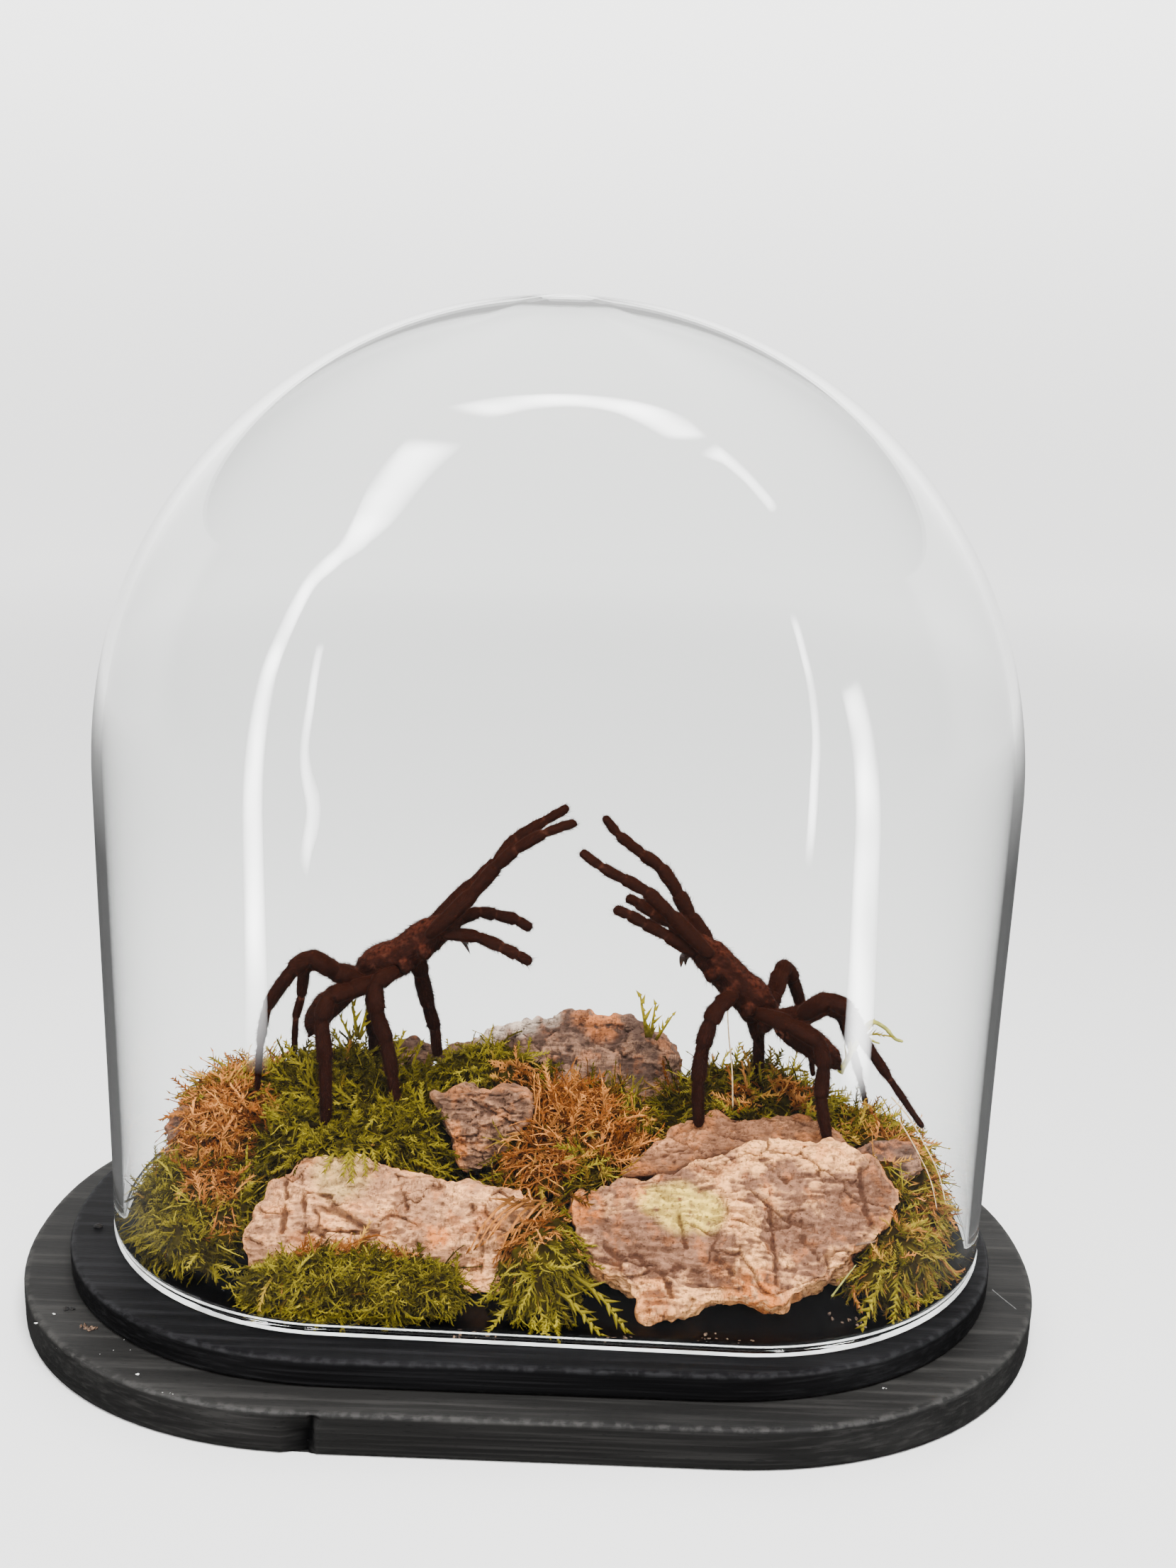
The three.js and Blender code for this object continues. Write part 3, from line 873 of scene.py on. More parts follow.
@dataclass
class Slab:
    """A piece of bark with plates, cracks and grooves on its weathered face and layers at its edges.

    warm and lichen are the places where its colour changes. painted_shade and pale are where shade and
    highlights are painted, in its dips and on its bulges. folds are where its face bulges or sinks by
    their strength in millimetres, and cracks the lines of its long cracks, cut in and painted dark as
    shade. rim is how strongly light is painted on its upper edge and shade on its lower part. A
    painted shadow darkens it where it meets the slab that leans_on names.
    """

    node: str
    finish: Bark
    voxel: float = 0.8
    plate: tuple[float, float] = (17.0, 10.0)
    crack_depth: float = 1.3
    grooves: float = 1.2
    lump: float = 1.5
    warm_edges: float = 0.35
    warm: tuple[Patch, ...] = ()
    lichen: tuple[Patch, ...] = ()
    painted_shade: tuple[Patch, ...] = ()
    pale: tuple[Patch, ...] = ()
    folds: tuple[Patch, ...] = ()
    cracks: tuple[tuple[Point, ...], ...] = ()
    crack_width: float = 0.5
    rim: float = 0.3
    leans_on: str = ""
    seed: float = 0.0

    def cracked(self, spot: Vector, face: Vector) -> float:
        """How deep a spot lies in one of the long cracks, from 0 to 1.

        Args:
            spot: The spot, in millimetres.
            face: The way that the weathered face looks.

        Returns:
            The crack's share.
        """
        wander = 1.1 * noise.noise(spot / 3.5) + 0.5 * noise.noise(spot / 1.2)
        nearest = 99.0
        for line in self.cracks:
            for start, end in zip(line, line[1:]):
                a, b = Vector(start), Vector(end)
                share = intersect_point_line(spot, a, b)[1]
                gap = spot - a.lerp(b, min(1.0, max(0.0, share)))
                nearest = min(nearest, (gap - face * gap.dot(face)).length)
        return smooth(1.5, 0.4, (nearest + wander) / self.crack_width)

    def weathered_face(self, mesh: Mesh) -> Vector:
        """The way that the largest upward face of the CAD slab looks."""
        areas: dict[tuple[float, ...], float] = {}
        for polygon in mesh.polygons:
            key = tuple(round(c, 2) for c in polygon.normal)
            areas[key] = areas.get(key, 0.0) + polygon.area * (polygon.normal.z > 0.1)
        return Vector(max(areas, key=lambda key: areas[key])).normalized()

    def relief(self, spot: Vector, axes: tuple[Vector, Vector, Vector], facing: float) -> Point:
        """How far the surface moves out at a spot, how much shade is painted on it, and how high it then
        lies.

        Args:
            spot: The spot, in millimetres.
            axes: The slab's grain, rise and face directions.
            facing: 1 on the weathered face and 0 at an edge.

        Returns:
            The move in millimetres, the painted shade from 0 to 1, and the height from 0 to 1.
        """
        along, rise, deep = (spot.dot(axis) for axis in axes)
        shift = Vector((self.seed, 0.3 * self.seed, 0.7 * self.seed))
        warp = 0.22 * noise.noise(spot / 5 + shift)
        plate = Vector((along / self.plate[0] + warp, rise / self.plate[1] - warp, self.seed))
        reach, cells = noise.voronoi(plate)
        fade = smooth(-0.3, 0.05, noise.noise(spot / 12 + 2 * shift))
        crack = fade * smooth(0.05, 0.01, reach[1] - reach[0])
        small = noise.voronoi(Vector((along / 4.2 + warp, rise / 3.0, self.seed + 3)))[0]
        shallow = 0.35 * smooth(0.1, 0.0, small[1] - small[0])
        crack = max(crack, shallow * smooth(-0.1, 0.2, noise.noise(spot / 5)))
        if self.cracks:
            crack = max(crack, self.cracked(spot, axes[2]))
        terrace = noise.noise(cells[0] * 5.7)
        groove = abs(noise.noise(Vector((along / 7, rise / 1.5, deep / 1.5)) + shift))
        crumb = noise.turbulence(spot / 2.6 + shift, 3, True)
        grit = noise.noise(spot / 0.9)
        layer = noise.noise(Vector((along / 6, rise / 6, deep / 0.9)) + shift)
        pit = smooth(0.15, 0.5, noise.noise(spot / 1.6 - shift))
        top = 0.9 * terrace - self.grooves * groove - 0.85 * (crumb - 0.45) + 0.3 * grit - 0.5 * pit
        ragged = 2.4 * noise.noise(spot / 7 + shift) + 1.3 * noise.noise(spot / 2.8 - shift)
        edge = ragged + 0.7 * layer + 0.3 * grit
        move = self.lump * noise.noise(spot / 15 + shift) + facing * (top - self.crack_depth * crack)
        move += (1 - facing) * edge
        # Painted shade: cracks, low hollows and the gaps between layers at the edges are darkened.
        cavity = facing * max(0.9 * crack, 0.6 * smooth(-0.1, -1.1, top))
        between_layers = 0.45 * (1 - facing) * smooth(0.15, -0.5, layer)
        return move, max(cavity, between_layers), 0.5 + 0.5 * top * facing

    def neighbour(self) -> BVHTree | None:
        """The surface of the slab that this one leans on, or None."""
        if not self.leans_on:
            return None
        bm = welded(self.leans_on)
        tree = BVHTree.FromBMesh(bm)
        bm.free()
        return tree

    def build(self) -> None:
        """Remeshes a copy of the CAD slab and weathers it."""
        face = self.weathered_face(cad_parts[self.node].data)
        grain = face.cross(UP).normalized()
        axes = (grain, face.cross(grain), face)
        piece = new_piece(f"{self.node}_weathered", welded(self.node))
        remesh(piece, self.voxel)
        crack, warm, lichen, rise, moved = [], [], [], [], []
        levels = [vertex.co.dot(axes[1]) for vertex in piece.data.vertices]
        foot, head = min(levels), max(levels)
        touching = self.neighbour()
        for vertex, level in zip(piece.data.vertices, levels):
            spot = vertex.co / MM
            facing = smooth(0.35, 0.85, vertex.normal.dot(face))
            level = (level - foot) / (head - foot)
            move, depth, height = self.relief(spot, axes, facing)
            move += facing * sum(fold.share(spot) for fold in self.folds)
            moved.append(vertex.co + vertex.normal * move * MM)
            # Painted shadow where it meets the slab it leans on: dark within a few millimetres, greyer within
            # 11 mm.
            if touching:
                gap = touching.find_nearest(vertex.co)[3] / MM
                depth = max(depth, 0.85 * smooth(4.0, 1.2, gap + 1.2 * noise.noise(spot / 4)))
                height -= 0.5 * smooth(11, 3, gap)
            crack.append(depth)
            # Painted light and shade: light along the upper edge and shade on the lower part; the pale
            # patches are painted highlights on bulges, the other patches painted shade in dips.
            edge = self.rim * (smooth(0.72, 0.95, level) - 0.6 * smooth(0.5, 0.1, level))
            rise.append(height + edge + strongest(self.pale, spot) - strongest(self.painted_shade, spot))
            broken = self.warm_edges * (1 - facing) * smooth(-0.1, 0.3, noise.noise(spot / 9))
            warm.append(max(broken, strongest(self.warm, spot)))
            lichen.append(strongest(self.lichen, spot))
        for vertex, place in zip(piece.data.vertices, moved):
            vertex.co = place
        for name, values in (("crack", crack), ("warm", warm), ("lichen", lichen), ("rise", rise)):
            put_attribute(piece, name, values)
        piece.data.update()
        finish(piece, self.finish.material(), self.finish.slot, [self.node])


# ---- many small things: fronds and hairs ----


class Sprig:
    """A small shape that grows along +X from 0 to 1, of which many bent copies are joined in one mesh."""

    def __init__(self, bm: BMesh) -> None:
        """Takes the shape out of a bmesh, and frees it."""
        bmesh.ops.triangulate(bm, faces=bm.faces)
        bm.verts.index_update()
        self.points = np.array([vert.co[:] for vert in bm.verts])
        self.corners = np.array([[vert.index for vert in face.verts] for face in bm.faces])
        bm.free()

    def plant(
        self,
        name: str,
        roots: np.ndarray,
        ahead: np.ndarray,
        above: np.ndarray,
        length: np.ndarray,
        width: np.ndarray,
        bend: np.ndarray,
        press: Callable[[np.ndarray], np.ndarray] | None = None,
    ) -> Object:
        """Joins one copy for each root into a piece.

        Args:
            name: The piece's name.
            roots: Where each copy starts, in metres.
            ahead: The direction in which each grows.
            above: The direction that its upper side faces.
            length: The length of each, in metres.
            width: The width of each, in metres.
            bend: How far each bends down from its root to its tip, in radians.
            press: Moves points that went where they can't be.

        Returns:
            The piece, with each point's share of the length in its tip attribute.
        """
        side = unit(np.cross(above, ahead))
        above = np.cross(ahead, side)
        t = self.points[:, 0][None, :]
        turn = bend[:, None] * t
        safe = np.where(np.abs(bend) < 1e-3, 1e-3, bend)[:, None]
        flat = self.points[:, 2][None, :] * width[:, None]
        x = np.sin(turn) / safe * length[:, None] + np.sin(turn) * flat
        z = (np.cos(turn) - 1) / safe * length[:, None] + np.cos(turn) * flat
        y = self.points[:, 1][None, :] * width[:, None]
        places = roots[:, None] + x[..., None] * ahead[:, None] + y[..., None] * side[:, None]
        places = places + z[..., None] * above[:, None]
        if press:
            places = press(places)
        count, size = len(roots), len(self.points)
        corners = self.corners[None] + (np.arange(count) * size)[:, None, None]
        mesh = bpy.data.meshes.new(name)
        mesh.vertices.add(count * size)
        mesh.vertices.foreach_set("co", places.astype(np.float32).ravel())
        mesh.loops.add(corners.size)
        mesh.loops.foreach_set("vertex_index", corners.astype(np.int32).ravel())
        mesh.polygons.add(corners.size // 3)
        mesh.polygons.foreach_set("loop_start", np.arange(0, corners.size, 3, dtype=np.int32))
        mesh.update(calc_edges=True)
        mesh.shade_smooth()
        piece = put_in_scene(name, mesh)
        put_attribute(piece, "tip", np.tile(self.points[:, 0], count))
        return piece

    def each(self, values: np.ndarray) -> np.ndarray:
        """A value for each copy, repeated for each of its points."""
        return np.repeat(values, len(self.points))


@dataclass(frozen=True)
class Growth:
    """A kind of moss shoot, with its measures as shares of its length.

    twigs, twig_reach, twig_radius and fan_deg describe the twigs on both sides of the stem. length
    is in millimetres, and density counts the shoots on a square millimetre.
    """

    name: str
    twigs: int
    twig_reach: float
    twig_radius: float
    fan_deg: float
    stem_radius: float
    stem_cuts: int
    length: float
    density: float
    bend: float

    def sprig(self, rng: np.random.Generator) -> Sprig:
        """One shoot: a stem with pointed twigs that get shorter towards its tip.

        Args:
            rng: The source of its irregularities.

        Returns:
            The sprig.
        """
        bm = bmesh.new()
        lying = Matrix.Rotation(math.pi / 2, 4, "Y")
        stem = Matrix.Translation((0.5, 0, 0)) @ lying
        thick, thin = self.stem_radius, 0.3 * self.stem_radius
        bmesh.ops.create_cone(bm, segments=3, radius1=thick, radius2=thin, depth=1.0, matrix=stem)
        for i in range(self.stem_cuts):
            cut = ((i + 1) / (self.stem_cuts + 1), 0, 0)
            geometry = [*bm.verts, *bm.edges, *bm.faces]
            bmesh.ops.bisect_plane(bm, geom=geometry, plane_co=cut, plane_no=(1, 0, 0))
        for i in range(self.twigs):
            share = 0.1 + 0.86 * i / (self.twigs - 1)
            reach = self.twig_reach * (1.1 - 0.65 * share) * rng.uniform(0.7, 1.25)
            fan = math.radians(self.fan_deg * rng.uniform(0.6, 1.35)) * (1 if i % 2 else -1)
            rise = math.radians(rng.uniform(-15, 40))
            turn = Matrix.Rotation(fan, 4, "Z") @ Matrix.Rotation(-rise, 4, "Y")
            shape = Matrix.Diagonal((reach, self.twig_radius, self.twig_radius, 1))
            place = Matrix.Translation((share, 0, 0)) @ turn @ shape
            matrix = place @ Matrix.Translation((0.5, 0, 0)) @ lying
            bmesh.ops.create_cone(bm, segments=3, radius1=1.0, radius2=0.0, depth=1.0, matrix=matrix)
        return Sprig(bm)


FEATHER = Growth("feathers", 14, 0.3, 0.038, 42, 0.035, 1, 9.5, 0.15, 0.8)
SHOOT = Growth("shoots", 6, 0.36, 0.06, 26, 0.06, 0, 3.5, 0.8, 0.5)
STRAND = Growth("strands", 3, 0.3, 0.03, 30, 0.035, 2, 9.0, 0.12, 1.6)


def hair_sprig() -> Sprig:
    """One hair: a thin three-sided spike."""
    bm = bmesh.new()
    place = Matrix.Translation((0.5, 0, 0)) @ Matrix.Rotation(math.pi / 2, 4, "Y")
    bmesh.ops.create_cone(bm, segments=3, radius1=0.5, radius2=0.0, depth=1.0, matrix=place)
    return Sprig(bm)


def spread(piece: Object, count: int, rng: np.random.Generator) -> tuple[np.ndarray, np.ndarray]:
    """Picks points all over a piece, by area.

    Args:
        piece: The mesh object.
        count: How many points.
        rng: The source of the choice.

    Returns:
        The points, and the surface's direction at each.
    """
    mesh = piece.data
    mesh.calc_loop_triangles()
    corners = np.array([triangle.vertices[:] for triangle in mesh.loop_triangles])
    places = np.array([vertex.co[:] for vertex in mesh.vertices])
    normals = np.array([vertex.normal[:] for vertex in mesh.vertices])
    a, b, c = (places[corners[:, k]] for k in range(3))
    areas = np.linalg.norm(np.cross(b - a, c - a), axis=1)
    chosen = rng.choice(len(corners), count, p=areas / areas.sum())
    u, v = rng.random(count), rng.random(count)
    u, v = np.where(u + v > 1, 1 - u, u), np.where(u + v > 1, 1 - v, v)
    weights = np.stack([1 - u - v, u, v], 1)[..., None]
    picked = corners[chosen]
    return (places[picked] * weights).sum(1), unit((normals[picked] * weights).sum(1))


# ---- moss ----


@dataclass(frozen=True)
class Surroundings:
    """The glass that moss stays inside, the solids that it stays out of, and where it is dead."""

    dome: Dome
    solids: BVHTree
    rust: tuple[Patch, ...]


@dataclass
class Cushion:
    """A cushion of dried moss: a dark bed with fronds that lie over each other.

    growths are its kinds of shoots and how dense each is, and scale is the shoots' size. lift is how
    far they stand off the bed, and hang how strongly they lie downhill. tint is how rust it is in
    green places, and light how lit. The bed lies sink millimetres under the CAD solid's surface.
    """

    node: str
    seed: int
    growths: tuple[tuple[Growth, float], ...]
    slot: str = "green_moss"
    scale: float = 1.0
    lift: float = 0.45
    tint: float = 0.0
    light: float = 0.5
    voxel: float = 1.8
    sink: float = 1.6
    hang: float = 1.1

    def bed(self) -> Object:
        """The cushion's uneven body, a little lower than the CAD solid, painted near black as shade.

        Returns:
            The bed.
        """
        piece = new_piece(f"{self.node}_bed", welded(self.node))
        remesh(piece, self.voxel)
        places = []
        for vertex in piece.data.vertices:
            spot = vertex.co / MM
            lump = 2.2 * noise.noise(spot / 9) + 1.2 * noise.noise(spot / 4)
            places.append(vertex.co + vertex.normal * (lump - self.sink) * MM)
        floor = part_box(self.node)[0].z
        for vertex, place in zip(piece.data.vertices, places):
            vertex.co = (place.x, place.y, max(place.z, floor))
        piece.data.update()
        spots = [vertex.co / MM for vertex in piece.data.vertices]
        # The bed is painted near black with the root colour at a low light: partly its own brown and partly
        # painted shade between the fronds.
        put_attribute(piece, "tip", [0.3 * smooth(-0.2, 0.5, noise.noise(spot / 3)) for spot in spots])
        put_attribute(piece, "tint", self.tint)
        put_attribute(piece, "light", 0.2)
        return piece

    def ahead(self, normals: np.ndarray, rng: np.random.Generator) -> np.ndarray:
        """The way each frond grows: downhill or anyhow over the surface, and a little off it.

        Args:
            normals: The surface's direction at each root.
            rng: The source of the scatter.

        Returns:
            A direction for each root.
        """
        down = np.array([0.0, 0.0, -1.0]) - normals * -normals[:, 2:3]
        wild = unit(rng.normal(size=normals.shape))
        wild = wild - normals * (wild * normals).sum(1, keepdims=True)
        off = self.lift * rng.uniform(0.3, 1.5, (len(normals), 1))
        return unit(self.hang * down + 0.75 * unit(wild) + off * normals + np.array([0, 0, 0.1]))

    def build(self, around: Surroundings) -> None:
        """Makes the bed and its fronds.

        Args:
            around: What it grows in.
        """
        rng = np.random.default_rng(self.seed)
        bed = self.bed()
        material = Moss(self.slot).material()
        finish(bed, material, self.slot, [self.node])
        for growth, share in self.growths:
            finish(self.grow(bed, growth, share, rng, around), material, self.slot, [self.node])

    def grow(
        self, bed: Object, growth: Growth, share: float, rng: np.random.Generator, around: Surroundings
    ) -> Object:
        """Grows one kind of shoot all over the bed.

        Args:
            bed: The bed.
            growth: The kind of shoot.
            share: How dense it is, as a share of the kind's own density.
            rng: The source of the scatter.
            around: What the moss grows in.

        Returns:
            The shoots, in one piece.
        """
        area = sum(polygon.area for polygon in bed.data.polygons) / MM**2
        roots, normals = spread(bed, int(area * growth.density * share), rng)
        hidden = (normals[:, 1] > 0.35) & (rng.random(len(roots)) < 0.5)
        shown = (normals[:, 2] > -0.35) & ~hidden
        roots, normals = roots[shown], normals[shown]
        ahead = self.ahead(normals, rng)
        length = self.scale * growth.length * rng.uniform(0.6, 1.4, len(roots)) * MM
        kept = []
        for i, (root, normal) in enumerate(zip(roots, normals)):
            start = Vector(root) + Vector(normal) * 1.0 * MM
            if around.solids.ray_cast(start, Vector(normal), 3.0 * MM)[0] is not None:
                continue
            for _ in range(3):
                hit, facing, _, _ = around.solids.ray_cast(start, Vector(ahead[i]), 0.8 * length[i])
                if hit is None:
                    break
                ahead[i] = unit(ahead[i] + 0.75 * np.array(facing) + 0.3 * normal)
            else:
                length[i] = max(3.5 * MM, (hit - start).length)
            kept.append(i)
        roots, normals, ahead, length = roots[kept], normals[kept], ahead[kept], length[kept]
        spots = roots + ahead * length[:, None] * 0.4
        tint = np.array([strongest(around.rust, Vector(spot) / MM) for spot in spots])
        clump = np.array([noise.noise(Vector(spot) / MM / 7) for spot in spots])
        tint = np.clip(np.maximum(tint, self.tint) + rng.normal(0, 0.17, len(roots)), 0, 1)
        # Painted light and shade for each shoot: the cushion's level, its clump and chance.
        light = np.clip(self.light + 0.5 * clump + rng.normal(0, 0.22, len(roots)), 0, 1)
        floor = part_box(self.node)[0].z
        sprig = growth.sprig(rng)
        shoots = sprig.plant(
            f"{self.node}_{growth.name}",
            roots,
            ahead,
            unit(normals + 0.5 * rng.normal(size=normals.shape)),
            length,
            length,
            growth.bend * rng.uniform(-0.3, 1.4, len(roots)),
            lambda places: around.dome.pressed_inside(places, 0.3, floor),
        )
        put_attribute(shoots, "tint", sprig.each(tint))
        put_attribute(shoots, "light", sprig.each(light))
        return shoots


# ---- spiders ----


class Form(Enum):
    """How a limb's radius runs, as (share of length, radius in millimetres)."""

    RAISED = (
        (0, 2.2), (0.12, 2.6), (0.3, 2.6), (0.45, 2.3), (0.62, 2.1), (0.8, 1.75), (0.95, 1.65), (1, 1.5),
    )
    STANDING = ((0, 2.3), (0.14, 2.9), (0.3, 2.9), (0.5, 2.5), (0.7, 2.3), (0.9, 2.0), (1, 1.8))
    ARCHED = ((0, 2.6), (0.15, 3.2), (0.33, 2.9), (0.45, 2.4), (0.6, 1.8), (0.8, 1.3), (1, 1.0))
    PALP = ((0, 1.9), (0.15, 2.15), (0.4, 2.1), (0.65, 2.0), (0.85, 1.9), (1, 1.7))


# How thick a segment is from joint to joint, as (share of its length, share of the limb's radius),
# and how its last segment closes.
JOINT_SHAPE = ((0.0, 0.79), (0.07, 0.88), (0.25, 1.0), (0.6, 1.07), (0.85, 1.12), (0.95, 0.99), (1.0, 0.79))
FOOT_SHAPE = {0.96: 0.95, 0.985: 0.72, 1.0: 0.3}


@dataclass
class Coat:
    """Short hair over a piece, with a few long hairs in it."""

    per_square_mm: float = 2.8
    length: float = 1.35
    width: float = 0.13
    lift: float = 0.8
    long_share: float = 0.05
    long_length: float = 1.9
    sink: float = 0.1
    bend: float = 0.01

    def grow(self, skin: Object, name: str, flow: Callable[[np.ndarray], np.ndarray], seed: int) -> Object:
        """Covers a skin in hair.

        Args:
            skin: The piece that the hair grows on.
            name: The hair's name.
            flow: Gives the direction that the hair lies in, at each of an array of points.
            seed: The seed of its scatter.

        Returns:
            The hair.
        """
        rng = np.random.default_rng(seed)
        area = sum(polygon.area for polygon in skin.data.polygons) / MM**2
        roots, normals = spread(skin, int(area * self.per_square_mm), rng)
        lying = flow(roots) + 0.35 * rng.normal(size=roots.shape)
        lying = lying - normals * (lying * normals).sum(1, keepdims=True)
        lift = self.lift * rng.uniform(0.5, 1.5, (len(roots), 1))
        ahead = unit(unit(lying) + lift * normals)
        long = rng.random(len(roots)) < self.long_share
        shares = np.where(long, self.long_length, rng.uniform(0.6, 1.25, len(roots)))
        width, bend = np.full(len(roots), self.width * MM), np.full(len(roots), self.bend)
        roots = roots - normals * self.sink * MM
        hair = hair_sprig().plant(name, roots, ahead, normals, self.length * shares * MM, width, bend)
        put_attribute(hair, "bare", 0.0)
        return hair


@dataclass
class Limb:
    """A leg or palp: segments from joint to joint, from the body to the foot.

    steps are the places on a segment that get a ring of points. curl is how far it bends at its
    joints, and the shares of foot_length give the places at which its foot closes.
    """

    part: str
    form: Form
    joints: tuple[Point, ...]
    sides: int = 12
    steps: tuple[float, ...] = (0.0, 0.07, 0.25, 0.6, 0.85, 0.95)
    curl: float = 0.27
    fine: int = 40
    foot_length: float = 30.0
    roughness: float = 0.25
    bare_share: float = 0.6

    def path(self) -> tuple[list[Vector], list[float]]:
        """The limb's centre line and radii, in metres."""
        knots = [Vector(joint) * MM for joint in self.joints]
        legs = [b - a for a, b in zip(knots, knots[1:])]
        tangents = [legs[0].normalized()]
        tangents += [(a.normalized() + b.normalized()).normalized() for a, b in zip(legs, legs[1:])]
        tangents.append(legs[-1].normalized())
        total = sum(leg.length for leg in legs)
        centres, radii, gone = [], [], 0.0
        for i, leg in enumerate(legs):
            reach = self.curl * leg.length
            start, end = knots[i], knots[i + 1]
            leaving, arriving = start + tangents[i] * reach, end - tangents[i + 1] * reach
            bend = interpolate_bezier(start, leaving, arriving, end, self.fine + 1)
            last = i == len(legs) - 1
            for share in (*self.steps[:-1], *FOOT_SHAPE) if last else self.steps:
                in_foot = last and share in FOOT_SHAPE
                at_end = bend[self.fine] - leg.normalized() * (1 - share) * self.foot_length * MM
                centres.append(at_end if in_foot else bend[round(share * self.fine)])
                girth = between(self.form.value, (gone + share * leg.length) / total)
                shape = between(JOINT_SHAPE, share)
                if last:
                    shape = FOOT_SHAPE.get(share, 1.0 if share > 0.5 else shape)
                radii.append(girth * shape * MM)
            gone += leg.length
        return centres, radii

    def build(self, spider: str, dark: Hair, coat: Coat, seed: int) -> None:
        """Makes the limb's skin and hair.

        Args:
            spider: The name of the spider that it belongs to.
            dark: The finish of both.
            coat: The hair.
            seed: The seed of the hair's scatter.
        """
        node = f"{spider}_{self.part}"
        centres, radii = self.path()
        skin = new_piece(f"{node}_skin", tube(centres, radii, self.sides))
        smoothing = skin.modifiers.new("smoothing", "SUBSURF")
        smoothing.levels = smoothing.render_levels = 1
        soften(skin, 3)
        line = np.array([centre[:] for centre in centres])
        ahead = unit(np.gradient(line, axis=0))
        knots = np.array(self.joints[1:-1]) * MM
        for vertex in skin.data.vertices:
            vertex.co += vertex.normal * self.roughness * MM * noise.noise(vertex.co / MM / 1.8)
        places = np.array([vertex.co[:] for vertex in skin.data.vertices])
        close = np.linalg.norm(places[:, None] - knots[None], axis=2).min(1) / MM
        put_attribute(skin, "bare", np.clip((1.9 - close) / 1.2, 0, self.bare_share))
        put_attribute(skin, "tip", 0.0)

        def flow(points: np.ndarray) -> np.ndarray:
            """The direction of the nearest stretch of the limb."""
            nearest = np.linalg.norm(points[:, None] - line[None], axis=2).argmin(1)
            return ahead[nearest]

        hair = coat.grow(skin, f"{node}_hair", flow, seed)
        material = dark.material()
        for piece in (skin, hair):
            finish(piece, material, "spider_hair", [node])


@dataclass(frozen=True)
class Lump:
    """A rounded part of a body, at a share of the body's line and off it by side and up millimetres."""

    share: float
    side: float
    up: float
    radii: Point


BODY_LUMPS = (
    Lump(0.32, 0, 1.7, (9.5, 6.6, 4.9)),
    Lump(0.7, 0, 1.3, (7.0, 5.2, 4.7)),
    Lump(0.8, 0, 4.6, (1.7, 1.9, 1.3)),
    Lump(0.42, 0, -2.6, (9.0, 5.0, 3.6)),
    Lump(0.97, 2.5, -0.6, (5.6, 2.4, 3.0)),
    Lump(0.97, -2.5, -0.6, (5.6, 2.4, 3.0)),
    *(Lump(share, side, -2.2, (2.3, 3.7, 3.1)) for share in (0.1, 0.3, 0.5, 0.7) for side in (5.0, -5.0)),
)
ABDOMEN_LUMPS = (
    Lump(0.55, 0, 0.8, (6.5, 4.6, 4.2)),
    Lump(0.97, 1.0, -0.6, (2.6, 0.8, 0.8)),
    Lump(0.97, -1.0, -0.6, (2.6, 0.8, 0.8)),
)


